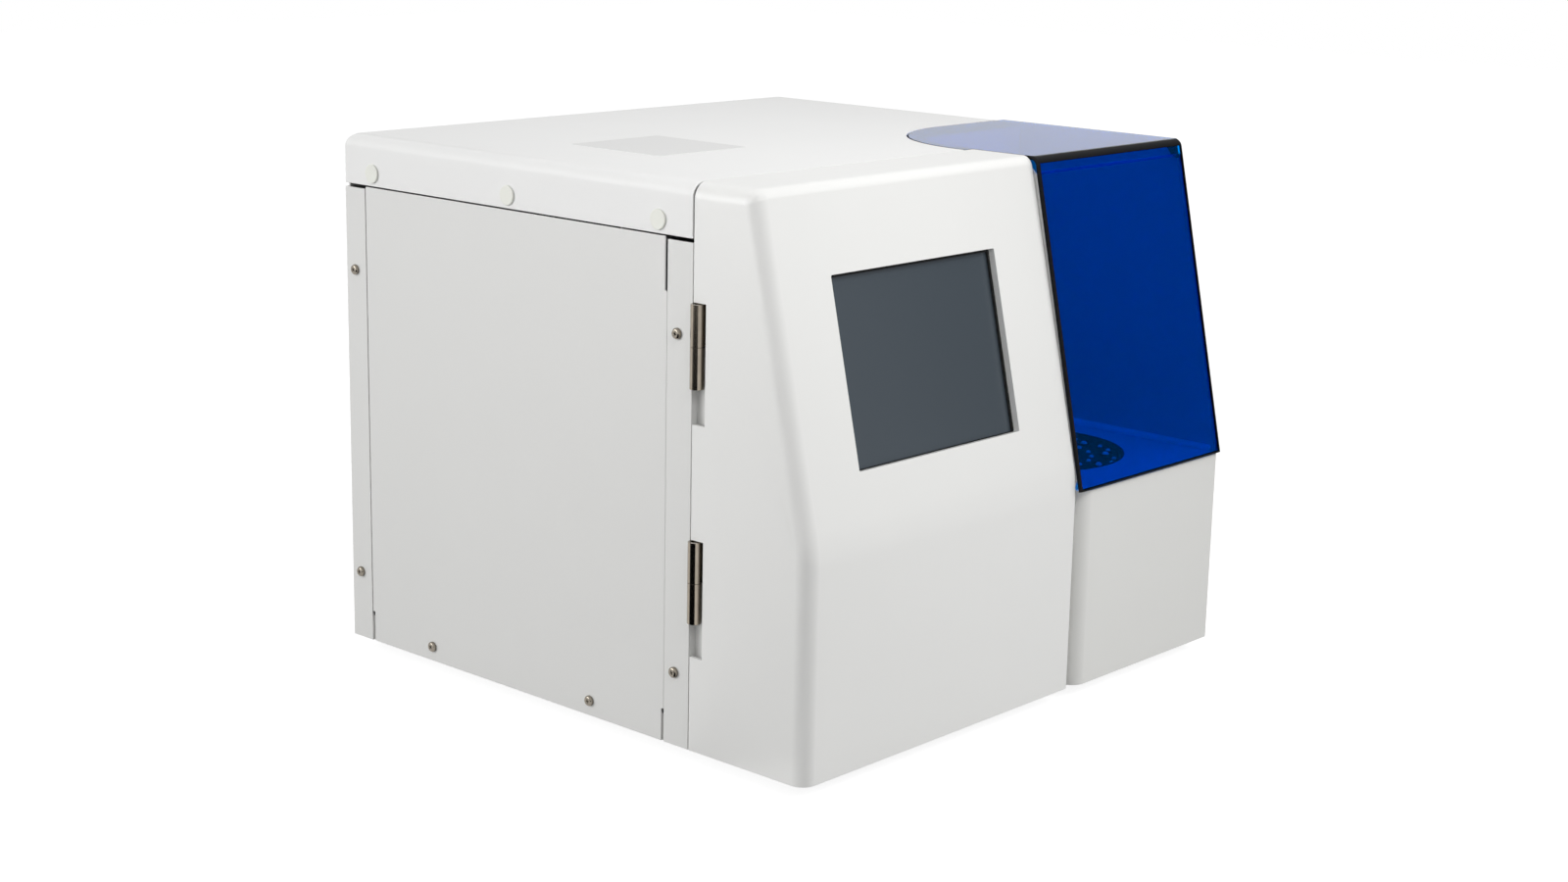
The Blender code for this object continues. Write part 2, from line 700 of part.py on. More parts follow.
def rear_panel(datum, paint):
    """Make the rear sheet, with the fan's slots and the inlet's window."""
    bm = bmesh.new()
    top = CABINET_HEIGHT - COVER_RADIUS - GAP
    block(bm, (INNER_LEFT, REAR_PANEL_INSIDE, 0), (INNER_RIGHT, REAR_PANEL_FACE, top))
    panel = add_piece("rear_panel", bm, datum, paint)
    bm = bmesh.new()
    pitch = FAN_SIDE / (VENT_SLOT_COUNT + 1)
    for number in range(VENT_SLOT_COUNT):
        middle = FAN_Z - FAN_SIDE / 2 + pitch * (number + 1)
        block(
            bm,
            (FAN_X - VENT_WIDTH / 2, REAR_PANEL_INSIDE - OVERRUN, middle - VENT_SLOT / 2),
            (FAN_X + VENT_WIDTH / 2, REAR_PANEL_FACE + OVERRUN, middle + VENT_SLOT / 2),
        )
    width = INLET_WIDTH / 2 + GAP
    height = INLET_HEIGHT / 2 + GAP
    block(
        bm,
        (INLET_X - width, REAR_PANEL_INSIDE - OVERRUN, INLET_Z - height),
        (INLET_X + width, REAR_PANEL_FACE + OVERRUN, INLET_Z + height),
    )
    cut(panel, bm, datum)


def side_holes(places, radius):
    """Return a mesh of round holes through the left side at (depth, height) places."""
    bm = bmesh.new()
    for place in places:
        prism(bm, circle(place, radius, SCREW_SIDES), "X", -OVERRUN, INNER_LEFT + OVERRUN)
    return bm


def left_side_panel(datum, paint):
    """Make the left panel between the posts, with the bending slits at its corners."""
    front = FRONT_POST_REAR + GAP
    rear = REAR_POST_FRONT - GAP
    top = COVER_SKIRT_BOTTOM - GAP
    bm = bmesh.new()
    block(bm, (0, front, 0), (SHEET, rear, top))
    panel = add_piece("left_side_panel", bm, datum, paint)
    bm = bmesh.new()
    slits = (
        (front - OVERRUN, front + SLIT_WIDTH, top - TOP_SLIT_LENGTH, top + OVERRUN),
        (front - OVERRUN, front + SLIT_WIDTH, -OVERRUN, FOOT_SLIT_LENGTH),
        (rear - SLIT_WIDTH, rear + OVERRUN, -OVERRUN, FOOT_SLIT_LENGTH),
    )
    for low_y, high_y, low_z, high_z in slits:
        block(bm, (-OVERRUN, low_y, low_z), (SHEET + OVERRUN, high_y, high_z))
    cut(panel, bm, datum)
    places = [(depth, BASE_SCREW_HEIGHT) for depth in BASE_SCREW_DEPTHS]
    cut(panel, side_holes(places, SCREW_HOLE_RADIUS), datum)


def front_post(datum, paint):
    """Make the front post: outer strip, front flange and the tongue behind the door."""
    front = SEAM_DEPTH + GAP
    inside = TONGUE_INSET + SHEET
    outline = [(0, front), (TONGUE_INSET, front), (TONGUE_INSET, TONGUE_FRONT)]
    outline += [(inside, TONGUE_FRONT), (inside, front + SHEET), (SHEET, front + SHEET)]
    outline += [(SHEET, FRONT_POST_REAR), (0, FRONT_POST_REAR)]
    bm = bmesh.new()
    prism(bm, outline, "Z", 0, POST_TOP)
    post = add_piece("front_post", bm, datum, paint)
    bm = bmesh.new()
    for bottom in HINGE_BOTTOMS.values():
        block(
            bm,
            (SHEET, front - OVERRUN, bottom - 2 * GAP),
            (INNER_LEFT + HINGE_LEAF + GAP, front + SHEET + GAP, bottom + HINGE_LENGTH),
        )
    cut(post, bm, datum)
    places = [(FRONT_SCREW_DEPTH, UPPER_SCREW_HEIGHT), (FRONT_SCREW_DEPTH, LOWER_SCREW_HEIGHT)]
    cut(post, side_holes(places, SCREW_HOLE_RADIUS), datum)


def rear_post(datum, paint):
    """Make the rear post: outer strip and rear flange."""
    rear = CABINET_DEPTH
    outline = [(0, REAR_POST_FRONT), (0, rear), (POST_FLANGE, rear), (POST_FLANGE, rear - SHEET)]
    outline += [(SHEET, rear - SHEET), (SHEET, REAR_POST_FRONT)]
    bm = bmesh.new()
    prism(bm, outline, "Z", 0, POST_TOP)
    post = add_piece("rear_post", bm, datum, paint)
    places = [(REAR_SCREW_DEPTH, UPPER_SCREW_HEIGHT), (REAR_SCREW_DEPTH, LOWER_SCREW_HEIGHT)]
    cut(post, side_holes(places, SCREW_HOLE_RADIUS), datum)


def side_screws(datum, steel):
    """Make the six pan-head screws of the left side."""
    places = {
        "front_upper": (FRONT_SCREW_DEPTH, UPPER_SCREW_HEIGHT),
        "front_lower": (FRONT_SCREW_DEPTH, LOWER_SCREW_HEIGHT),
        "rear_upper": (REAR_SCREW_DEPTH, UPPER_SCREW_HEIGHT),
        "rear_lower": (REAR_SCREW_DEPTH, LOWER_SCREW_HEIGHT),
        "base_front": (BASE_SCREW_DEPTHS[0], BASE_SCREW_HEIGHT),
        "base_rear": (BASE_SCREW_DEPTHS[1], BASE_SCREW_HEIGHT),
    }
    head = SCREW_HEAD_RADIUS
    out, along = SCREW_SHOULDER_SHARES
    profile = [(0, -GAP - SCREW_HEAD_HEIGHT), (head * SCREW_FACE_SHARE, -GAP - SCREW_HEAD_HEIGHT)]
    profile += [(head * out, -GAP - SCREW_HEAD_HEIGHT * along)]
    profile += [(head, -GAP - SCREW_HEAD_HEIGHT * SCREW_RIM_SHARE)]
    profile += [(head, -GAP), (SCREW_SHANK_RADIUS, -GAP)]
    profile += [(SCREW_SHANK_RADIUS, SCREW_LENGTH), (0, SCREW_LENGTH)]
    for name, place in places.items():
        bm = bmesh.new()
        turned(bm, profile, "X", place, SCREW_SIDES)
        add_piece(f"side_screw_{name}", bm, datum, steel, (0, *place))


def side_caps(datum, plastic):
    """Make the three plug caps of the top cover's left skirt."""
    edge = CAP_RADIUS - CAP_THICKNESS / 2
    profile = [(0, -GAP - CAP_THICKNESS), (edge, -GAP - CAP_THICKNESS)]
    profile += [(CAP_RADIUS, -GAP - CAP_THICKNESS / 2), (CAP_RADIUS, -GAP)]
    profile += [(CAP_STEM_RADIUS, -GAP), (CAP_STEM_RADIUS, CAP_STEM_LENGTH), (0, CAP_STEM_LENGTH)]
    for name, depth in CAP_DEPTHS.items():
        bm = bmesh.new()
        turned(bm, profile, "X", (depth, CAP_HEIGHT), CAP_SIDES)
        add_piece(f"side_cap_{name}", bm, datum, plastic, (0, depth, CAP_HEIGHT))


def top_cover(datum, paint):
    """Make the top sheet with its skirts, open over the sample bay."""
    front = SEAM_DEPTH + GAP

    def rounded(x0, x1, y0, y1, z0, z1, radius):
        """Return a box rounded along its upper side and rear edges."""
        bm = bmesh.new()
        block(bm, (x0, y0, z0), (x1, y1, z1))
        upper = edges_where(bm, lambda co: near(co.z, z1))
        upper = [edge for edge in upper if any(not near(v.co.y, y0) for v in edge.verts)]
        round_edges(bm, upper, radius, COVER_SEGMENTS)
        return bm

    shell = rounded(
        0, CABINET_WIDTH, front, CABINET_DEPTH, COVER_SKIRT_BOTTOM, CABINET_HEIGHT, COVER_RADIUS
    )
    cover = add_piece("top_cover", shell, datum, paint)
    hollow = rounded(
        SHEET,
        CABINET_WIDTH - SHEET,
        front - OVERRUN,
        CABINET_DEPTH - SHEET,
        COVER_SKIRT_BOTTOM - OVERRUN,
        COVER_UNDERSIDE,
        COVER_RADIUS - SHEET,
    )
    cut(cover, hollow, datum)
    bm = bmesh.new()
    outline = lid_plan(LID_GAP, front - OVERRUN, CABINET_WIDTH + OVERRUN)
    prism(bm, outline, "Z", COVER_SKIRT_BOTTOM - OVERRUN, CABINET_HEIGHT + OVERRUN)
    cut(cover, bm, datum)
    places = [(depth, CAP_HEIGHT) for depth in CAP_DEPTHS.values()]
    cut(cover, side_holes(places, CAP_HOLE_RADIUS), datum)


def door_solid(inset, below, behind):
    """Return the door's outer form, or its hollow at an inset behind the faces."""
    left = inset
    right = DOOR_WIDTH - inset
    top = CABINET_HEIGHT - inset
    shift = inset / SLOPE_COS
    bend = SLOPE_START + inset * tan((pi / 2 - asin(SLOPE_COS)) / 2)
    brow = front_line(top) + shift
    bm = bmesh.new()
    outline = [(inset, below), (inset, bend), (brow, top), (behind, top), (behind, below)]
    prism(bm, outline, "X", left, right)
    bend_edge = edges_where(bm, lambda co: near(co.y, inset) and near(co.z, bend))
    round_edges(bm, bend_edge, DOOR_BEND_SETBACK, DOOR_BEND_SEGMENTS)

    def faced(co):
        """Say whether a corner lies on the front or top outline."""
        return not near(co.y, behind) or near(co.z, top)

    side = edges_where(bm, lambda co: near(co.x, left) and faced(co))
    side = [edge for edge in side if not all(near(v.co.z, below) for v in edge.verts)]
    crest = edges_where(bm, lambda co: near(co.y, brow) and near(co.z, top))
    round_edges(bm, list(set(side) | set(crest)), DOOR_RADIUS - inset, DOOR_SEGMENTS)
    return bm


def front_door_shell(datum, pivot, paint):
    """Make the moulded front door with its window collar and hinge notches."""
    bm = door_solid(0, 0, SEAM_DEPTH)
    origin = pivot.location
    door = add_piece("front_door_shell", bm, pivot, paint, origin)
    cut(door, door_solid(DOOR_WALL, -OVERRUN, SEAM_DEPTH + OVERRUN), datum)
    bm = bmesh.new()
    top = CABINET_HEIGHT - DOOR_WALL
    outline = [(DOOR_RETURN, -OVERRUN), (DOOR_RETURN, SLOPE_START)]
    outline += [(front_line(top) + DOOR_RETURN, top), (SEAM_DEPTH + OVERRUN, top)]
    outline += [(SEAM_DEPTH + OVERRUN, -OVERRUN)]
    prism(bm, outline, "X", DOOR_WIDTH - DOOR_RADIUS, DOOR_WIDTH + OVERRUN)
    cut(door, bm, datum)
    join(door, window_block(COLLAR_WALL, DOOR_WALL / 2, COLLAR_DEPTH), datum)
    cut(door, window_block(0, -OVERRUN, COLLAR_DEPTH + OVERRUN), datum)
    bm = bmesh.new()
    for bottom in HINGE_BOTTOMS.values():
        block(
            bm,
            (-OVERRUN, HINGE_NOTCH_FRONT, bottom - HINGE_LIFT),
            (DOOR_WALL + GAP / 2, SEAM_DEPTH + OVERRUN, bottom + HINGE_LENGTH + 2 * GAP),
        )
    cut(door, bm, datum)


def display(pivot, glass, plastic):
    """Make the display's glass and the housing behind it."""
    origin = pivot.location
    start = COLLAR_DEPTH + GAP
    end = start + GLASS_THICKNESS
    add_piece("display_glass", window_block(GLASS_MARGIN, start, end), pivot, glass, origin)
    start = end + GAP
    housing = window_block(DISPLAY_MARGIN, start, start + DISPLAY_THICKNESS)
    add_piece("display_housing", housing, pivot, plastic, origin)


def door_hinge(name, bottom, datum, pivot, steel):
    """Make one lift-off hinge: the post's half, the door's half and the pin."""
    axis = (0, HINGE_AXIS_DEPTH)
    middle = bottom + HINGE_LENGTH / 2
    leaf_left = INNER_LEFT
    door_leaf_left = DOOR_WALL + GAP
    halves = (
        ("post_half", bottom, middle - GAP / 2, leaf_left, 1, datum, (0, 0, 0)),
        ("door_half", middle + GAP / 2, bottom + HINGE_LENGTH, door_leaf_left, -1, pivot, pivot.location),
    )
    for half, low, high, left, way, parent, origin in halves:
        bm = bmesh.new()
        prism(bm, circle(axis, HINGE_RADIUS, HINGE_SIDES), "Z", low, high)
        piece = add_piece(f"hinge_{name}_{half}", bm, parent, steel, origin)
        ends = sorted((HINGE_AXIS_DEPTH, HINGE_AXIS_DEPTH + way * HINGE_LEAF_REACH))
        bm = bmesh.new()
        block(bm, (left, ends[0], low), (left + HINGE_LEAF, ends[1], high))
        join(piece, bm, datum)
        bm = bmesh.new()
        prism(
            bm,
            circle(axis, HINGE_BORE_RADIUS, HINGE_SIDES),
            "Z",
            low - OVERRUN,
            high + OVERRUN,
        )
        cut(piece, bm, datum)
    bm = bmesh.new()
    ring = circle(axis, HINGE_PIN_RADIUS, HINGE_SIDES)
    prism(bm, ring, "Z", bottom + PIN_INSET, bottom + HINGE_LENGTH - PIN_INSET)
    add_piece(f"hinge_{name}_pin", bm, datum, steel)


def lower_right_cover(datum, paint):
    """Make the fixed cover below the sample bay."""
    bm = bmesh.new()
    block(
        bm,
        (LOWER_COVER_LEFT, -LOWER_COVER_PROUD, 0),
        (CABINET_WIDTH, LOWER_COVER_REACH, LOWER_COVER_HEIGHT),
    )
    front = edges_where(
        bm, lambda co: near(co.y, -LOWER_COVER_PROUD) and near(co.x, LOWER_COVER_LEFT)
    )
    round_edges(bm, front, DOOR_RADIUS, DOOR_SEGMENTS)
    right = edges_where(
        bm, lambda co: near(co.y, -LOWER_COVER_PROUD) and near(co.x, CABINET_WIDTH)
    )
    round_edges(bm, right, LOWER_COVER_RIGHT_RADIUS, LOWER_COVER_RIGHT_SEGMENTS)
    cover = add_piece("lower_right_cover", bm, datum, paint)
    wall = LOWER_COVER_WALL
    bm = bmesh.new()
    block(
        bm,
        (LOWER_COVER_LEFT + wall, wall - LOWER_COVER_PROUD, -OVERRUN),
        (CABINET_WIDTH - wall, LOWER_COVER_REACH + OVERRUN, LOWER_COVER_HEIGHT - wall),
    )
    inner = edges_where(
        bm,
        lambda co: near(co.y, wall - LOWER_COVER_PROUD) and near(co.x, LOWER_COVER_LEFT + wall),
    )
    round_edges(bm, inner, DOOR_RADIUS - wall, DOOR_SEGMENTS)
    cut(cover, bm, datum)


def right_side_panel(datum, paint):
    """Make the right sheet, which runs forward beside the sample bay."""
    rear = REAR_PANEL_FACE
    low = LOWER_COVER_HEIGHT + GAP
    brow = LID_UNDERSIDE - LEDGE_DROP
    joint = LID_REAR + LID_GAP + GAP
    skirt = COVER_SKIRT_BOTTOM - GAP
    reach = LOWER_COVER_REACH + GAP
    outline = [(reach, 0), (reach, low), *edge_under_lid(low)]
    outline += [(joint - 2 * GAP, brow), (joint - 2 * GAP, skirt), (rear, skirt), (rear, 0)]
    bm = bmesh.new()
    prism(bm, outline, "X", CABINET_WIDTH - SHEET, CABINET_WIDTH)
    add_piece("right_side_panel", bm, datum, paint)


def sample_deck(datum, paint):
    """Make the deck of the sample bay, with the carousel's round hole."""
    bm = bmesh.new()
    block(bm, (BAY_LEFT, DECK_FRONT, DECK_BOTTOM), (INNER_RIGHT, DECK_REAR, DECK_TOP))
    deck = add_piece("sample_deck", bm, datum, paint)
    bm = bmesh.new()
    ring = circle((CAROUSEL_X, CAROUSEL_Y), DECK_HOLE_RADIUS, BOWL_SIDES)
    prism(bm, ring, "Z", DECK_BOTTOM - OVERRUN, DECK_TOP + OVERRUN)
    cut(deck, bm, datum)


def bay_walls(datum, paint):
    """Make the sheet on the bay's left and the one at its back."""
    rear = BAY_REAR_DEPTH + SHEET
    low = LOWER_COVER_HEIGHT
    brow = LID_UNDERSIDE - LEDGE_DROP
    top = FRAME_BOTTOM - GAP
    step = LID_STEP_DEPTH - FRAME_SHELF - GAP
    outline = [(PAN_FRONT, STAND), (PAN_FRONT, BASE_SCREW_HEIGHT), (BAY_WALL_FRONT, BASE_SCREW_HEIGHT)]
    outline += [(BAY_WALL_FRONT, low), *edge_under_lid(low + OVERRUN)]
    outline += [(step, brow), (step, top), (rear, top), (rear, STAND)]
    bm = bmesh.new()
    prism(bm, outline, "X", BAY_WALL_LEFT, WALL_RIGHT)
    add_piece("bay_left_wall", bm, datum, paint)
    bm = bmesh.new()
    right = INNER_RIGHT - SHEET - GAP
    block(bm, (BAY_LEFT, BAY_REAR_DEPTH, STAND), (right, rear, top))
    add_piece("bay_rear_wall", bm, datum, paint)


def bay_top_frame(datum, plastic):
    """Make the frame that the lid's top plate lies in."""
    front = SEAM_DEPTH + GAP
    bm = bmesh.new()
    prism(bm, lid_plan(FRAME_LAND, front, INNER_RIGHT), "Z", FRAME_BOTTOM, FRAME_TOP)
    frame = add_piece("bay_top_frame", bm, datum, plastic)
    bm = bmesh.new()
    outline = lid_plan(LID_GAP, front - OVERRUN, CABINET_WIDTH + OVERRUN)
    prism(bm, outline, "Z", LID_UNDERSIDE - LEDGE_DROP, CABINET_HEIGHT)
    cut(frame, bm, datum)
    bm = bmesh.new()
    outline = lid_plan(-FRAME_SHELF, front - 2 * OVERRUN, CABINET_WIDTH + OVERRUN)
    prism(bm, outline, "Z", FRAME_BOTTOM - OVERRUN, CABINET_HEIGHT)
    cut(frame, bm, datum)
    bm = bmesh.new()
    block(
        bm,
        (LID_SLOT_LEFT, LID_SLOT_FRONT, FRAME_BOTTOM - OVERRUN),
        (CABINET_WIDTH, LID_REAR + FRAME_LAND + OVERRUN, CABINET_HEIGHT),
    )
    cut(frame, bm, datum)


def sample_lid(datum, pivot, acrylic):
    """Make the bent acrylic lid: sloping front plate and flat top plate."""
    reach = LID_BEND_RADIUS * tan(radians(90 - degrees_of_lid()) / 2)
    centre = (LID_TOP_DEPTH + reach, CABINET_HEIGHT - LID_BEND_RADIUS)
    start = 180 - degrees_of_lid()
    outer = arc(centre, LID_BEND_RADIUS, start, 90, LID_BEND_SEGMENTS)
    inner = arc(centre, LID_BEND_RADIUS - LID_THICKNESS, 90, start, LID_BEND_SEGMENTS)
    foot = LID_FOOT_HEIGHT
    shift = LID_THICKNESS / LID_SLOPE_COS
    outline = [(lid_line(foot), foot), *outer, (LID_REAR + OVERRUN, CABINET_HEIGHT)]
    outline += [(LID_REAR + OVERRUN, LID_UNDERSIDE), *inner, (lid_line(foot) + shift, foot)]
    bm = bmesh.new()
    prism(bm, outline, "X", LID_REAR_LEFT - OVERRUN, LID_RIGHT + OVERRUN)
    lid = add_piece("sample_lid", bm, pivot, acrylic, pivot.location)
    bm = bmesh.new()
    outline = lid_plan(0, -LID_FOOT_PROUD - OVERRUN, LID_RIGHT)
    prism(bm, outline, "Z", LID_FOOT_HEIGHT - OVERRUN, CABINET_HEIGHT + OVERRUN)
    combine(lid, bm, "INTERSECT", datum)


def degrees_of_lid():
    """Return how far the lid's front plate leans back from upright."""
    return (pi / 2 - asin(LID_SLOPE_COS)) * 180 / pi


def lid_hinge(datum, pivot, steel):
    """Make the swan-neck hinge under the rear of the lid, its bracket and its pin."""
    axis = (LID_AXIS_DEPTH, LID_AXIS_HEIGHT)
    rise = LID_UNDERSIDE - GAP - LID_AXIS_HEIGHT
    outer_start = 180 - asin(rise / ARM_OUTER_RADIUS) * 180 / pi
    inner_start = 180 - asin(rise / ARM_INNER_RADIUS) * 180 / pi
    spread = ARM_HUB_SPREAD_DEG
    outline = arc(axis, ARM_OUTER_RADIUS, outer_start, ARM_END_DEG, ARM_SEGMENTS)
    outline += arc(axis, ARM_HUB_RADIUS, ARM_END_DEG + spread, ARM_END_DEG + 360 - spread, ARM_SEGMENTS)
    outline += arc(axis, ARM_INNER_RADIUS, ARM_END_DEG - ARM_WEB_DEG, inner_start, ARM_SEGMENTS)
    bm = bmesh.new()
    block(
        bm,
        (LID_BAR_LEFT, LID_BAR_FRONT, LID_UNDERSIDE - GAP - LID_BAR_DROP),
        (LID_BAR_RIGHT, LID_BAR_REAR, LID_UNDERSIDE - GAP),
    )
    frame = add_piece("lid_hinge_frame", bm, pivot, steel, pivot.location)
    bm = bmesh.new()
    for left in ARM_LEFTS:
        prism(bm, outline, "X", left, left + ARM_WIDTH)
    join(frame, bm, datum)
    bore = bmesh.new()
    ring = circle(axis, LID_PIN_BORE, HINGE_SIDES)
    prism(bore, ring, "X", LID_BAR_LEFT - OVERRUN, LID_BAR_RIGHT + OVERRUN)
    cut(frame, bore, datum)
    base = FRAME_TOP - BRACKET_THICKNESS
    bm = bmesh.new()
    block(
        bm,
        (LID_BAR_LEFT, LID_AXIS_DEPTH - BRACKET_REACH, base),
        (LID_BAR_RIGHT, LID_AXIS_DEPTH + BRACKET_REACH, FRAME_TOP),
    )
    bracket = add_piece("lid_hinge_bracket", bm, datum, steel)
    ear = arc(axis, EAR_RADIUS, 180, 360, ARM_SEGMENTS)
    ear += [(LID_AXIS_DEPTH + EAR_RADIUS, FRAME_TOP - GAP), (LID_AXIS_DEPTH - EAR_RADIUS, FRAME_TOP - GAP)]
    ear_lefts = (ARM_LEFTS[0] + ARM_WIDTH + GAP, ARM_LEFTS[1] - GAP - EAR_THICKNESS)
    bm = bmesh.new()
    for left in ear_lefts:
        prism(bm, ear, "X", left, left + EAR_THICKNESS)
    join(bracket, bm, datum)
    bore = bmesh.new()
    prism(bore, ring, "X", LID_BAR_LEFT - OVERRUN, LID_BAR_RIGHT + OVERRUN)
    cut(bracket, bore, datum)
    bm = bmesh.new()
    ring = circle(axis, LID_PIN_RADIUS, HINGE_SIDES)
    prism(
        bm,
        ring,
        "X",
        ARM_LEFTS[0] - LID_PIN_OVERHANG,
        ARM_LEFTS[1] + ARM_WIDTH + LID_PIN_OVERHANG,
    )
    add_piece("lid_hinge_pin", bm, datum, steel)


def carousel(datum, pivot, plastic, white, steel, dark):
    """Make the sample carousel: bowl, motor, shaft and slotted rotor."""
    centre = (CAROUSEL_X, CAROUSEL_Y)
    rim = DECK_BOTTOM - GAP
    inner = DECK_HOLE_RADIUS
    outer = inner + BOWL_WALL
    profile = [(0, BOWL_BOTTOM), (outer, BOWL_BOTTOM), (outer, rim - BOWL_WALL)]
    profile += [(BOWL_FLANGE_RADIUS, rim - BOWL_WALL), (BOWL_FLANGE_RADIUS, rim), (inner, rim)]
    profile += [(inner, BOWL_BOTTOM + BOWL_WALL), (0, BOWL_BOTTOM + BOWL_WALL)]
    bm = bmesh.new()
    turned(bm, profile, "Z", centre, BOWL_SIDES)
    bowl = add_piece("carousel_bowl", bm, datum, white)
    bore = bmesh.new()
    ring = circle(centre, SHAFT_BORE, SCREW_SIDES)
    prism(bore, ring, "Z", BOWL_BOTTOM - OVERRUN, BOWL_BOTTOM + BOWL_WALL + OVERRUN)
    cut(bowl, bore, datum)
    top = BOWL_BOTTOM - GAP
    half = MOTOR_SIDE / 2
    bm = bmesh.new()
    block(
        bm,
        (CAROUSEL_X - half, CAROUSEL_Y - half, top - MOTOR_LENGTH),
        (CAROUSEL_X + half, CAROUSEL_Y + half, top),
    )
    motor = add_piece("carousel_motor", bm, datum, dark)
    bore = bmesh.new()
    prism(bore, ring, "Z", top - SHAFT_SOCKET, top + OVERRUN)
    cut(motor, bore, datum)
    origin = pivot.location
    hub_bottom = ROTOR_TOP - ROTOR_HUB_LENGTH
    plate_bottom = ROTOR_TOP - ROTOR_THICKNESS
    profile = [(0, hub_bottom), (ROTOR_HUB_RADIUS, hub_bottom), (ROTOR_HUB_RADIUS, plate_bottom)]
    profile += [(ROTOR_RADIUS, plate_bottom), (ROTOR_RADIUS, ROTOR_TOP), (0, ROTOR_TOP)]
    bm = bmesh.new()
    turned(bm, profile, "Z", centre, ROTOR_SIDES)
    rotor = add_piece("carousel_rotor", bm, pivot, plastic, origin)
    wells = bmesh.new()
    for number in range(WELL_COUNT):
        angle = NEEDLE_ANGLE_DEG + 360 / WELL_COUNT * number
        seat = arc((WELL_RING_RADIUS, 0), WELL_RADIUS, 90, 270, WELL_SIDES)
        beyond = ROTOR_RADIUS + OVERRUN
        outline = [(beyond, WELL_RADIUS), *seat, (beyond, -WELL_RADIUS)]
        turn = Matrix.Rotation(radians(angle), 2)
        turned_points = [turn @ Vector(point) for point in outline]
        placed = [(CAROUSEL_X + point.x, CAROUSEL_Y + point.y) for point in turned_points]
        prism(wells, placed, "Z", plate_bottom - OVERRUN, ROTOR_TOP + OVERRUN)
    cut(rotor, wells, datum)
    bore = bmesh.new()
    prism(bore, ring, "Z", hub_bottom - OVERRUN, ROTOR_TOP - BOWL_WALL)
    cut(rotor, bore, datum)
    bm = bmesh.new()
    ring = circle(centre, SHAFT_RADIUS, SCREW_SIDES)
    prism(bm, ring, "Z", top - SHAFT_SOCKET + GAP, ROTOR_TOP - BOWL_WALL - GAP)
    add_piece("carousel_shaft", bm, pivot, steel, origin)


def sampler(datum, screw_pivot, paint, steel, plastic):
    """Make the sampler's tower, lead screw, carriage and needle."""
    left = BAY_LEFT
    right = left + TOWER_WIDTH
    rear = DECK_REAR
    bottom = DECK_TOP + GAP
    screw = (left + TOWER_WIDTH / 2, SCREW_AXIS_DEPTH)
    bm = bmesh.new()
    block(bm, (left, TOWER_FRONT, bottom), (right, rear, TOWER_TOP))
    tower = add_piece("sampler_tower", bm, datum, paint)
    bm = bmesh.new()
    block(
        bm,
        (left + TOWER_WALL, TOWER_FRONT - OVERRUN, bottom + TOWER_BASE),
        (right - TOWER_WALL, rear - TOWER_WALL, TOWER_TOP - TOWER_HEAD),
    )
    cut(tower, bm, datum)
    bm = bmesh.new()
    ring = circle(screw, LEAD_SCREW_BORE, SCREW_SIDES)
    prism(bm, ring, "Z", bottom + TOWER_WALL, TOWER_TOP + OVERRUN)
    cut(tower, bm, datum)
    top = TOWER_TOP + GAP
    profile = [(0, bottom + TOWER_WALL + GAP), (LEAD_SCREW_RADIUS, bottom + TOWER_WALL + GAP)]
    profile += [(LEAD_SCREW_RADIUS, top), (LEAD_SCREW_KNOB_RADIUS, top)]
    profile += [(LEAD_SCREW_KNOB_RADIUS, top + LEAD_SCREW_KNOB), (0, top + LEAD_SCREW_KNOB)]
    bm = bmesh.new()
    turned(bm, profile, "Z", screw, SCREW_SIDES)
    add_piece("lead_screw", bm, screw_pivot, steel, screw_pivot.location)
    needle = (NEEDLE_X, NEEDLE_Y)
    low = CARRIAGE_BOTTOM
    high = CARRIAGE_BOTTOM + CARRIAGE_HEIGHT
    side = TOWER_WALL + CARRIAGE_SIDE_GAP
    bm = bmesh.new()
    block(bm, (left + side, CARRIAGE_FRONT, low), (right - side, CARRIAGE_REAR, high))
    carriage = add_piece("needle_carriage", bm, datum, plastic, (*screw, low))
    bm = bmesh.new()
    block(
        bm,
        (left + side + OVERRUN, needle[1] - ARM_MARGIN, low + GAP),
        (needle[0] + ARM_MARGIN, CARRIAGE_FRONT + OVERRUN / 2, low + GAP + ARM_HEIGHT),
    )
    join(carriage, bm, datum)
    bm = bmesh.new()
    prism(bm, ring, "Z", low - OVERRUN, high + OVERRUN)
    prism(bm, circle(needle, NEEDLE_BORE, SCREW_SIDES), "Z", low - OVERRUN, high + OVERRUN)
    cut(carriage, bm, datum)
    collar = low + GAP + ARM_HEIGHT + GAP
    profile = [(0, NEEDLE_TIP_HEIGHT), (NEEDLE_RADIUS, NEEDLE_TIP_HEIGHT + NEEDLE_COLLAR_RADIUS)]
    profile += [(NEEDLE_RADIUS, collar), (NEEDLE_COLLAR_RADIUS, collar)]
    profile += [(NEEDLE_COLLAR_RADIUS, collar + NEEDLE_COLLAR), (0, collar + NEEDLE_COLLAR)]
    bm = bmesh.new()
    turned(bm, profile, "Z", needle, SCREW_SIDES)
    add_piece("sample_needle", bm, datum, steel, (*needle, low))


def fluidics_panel(datum, paint):
    """Make the upright panel that carries the fluid units."""
    outline = [(PANEL_DEPTH, STAND + SHEET), (PANEL_DEPTH, PANEL_TOP)]
    outline += [(PANEL_DEPTH + SHEET, PANEL_TOP), (PANEL_DEPTH + SHEET, STAND)]
    outline += [(PANEL_DEPTH - PANEL_FLANGE, STAND), (PANEL_DEPTH - PANEL_FLANGE, STAND + SHEET)]
    bm = bmesh.new()
    prism(bm, outline, "X", PANEL_LEFT, PANEL_RIGHT)
    add_piece("fluidics_panel", bm, datum, paint)


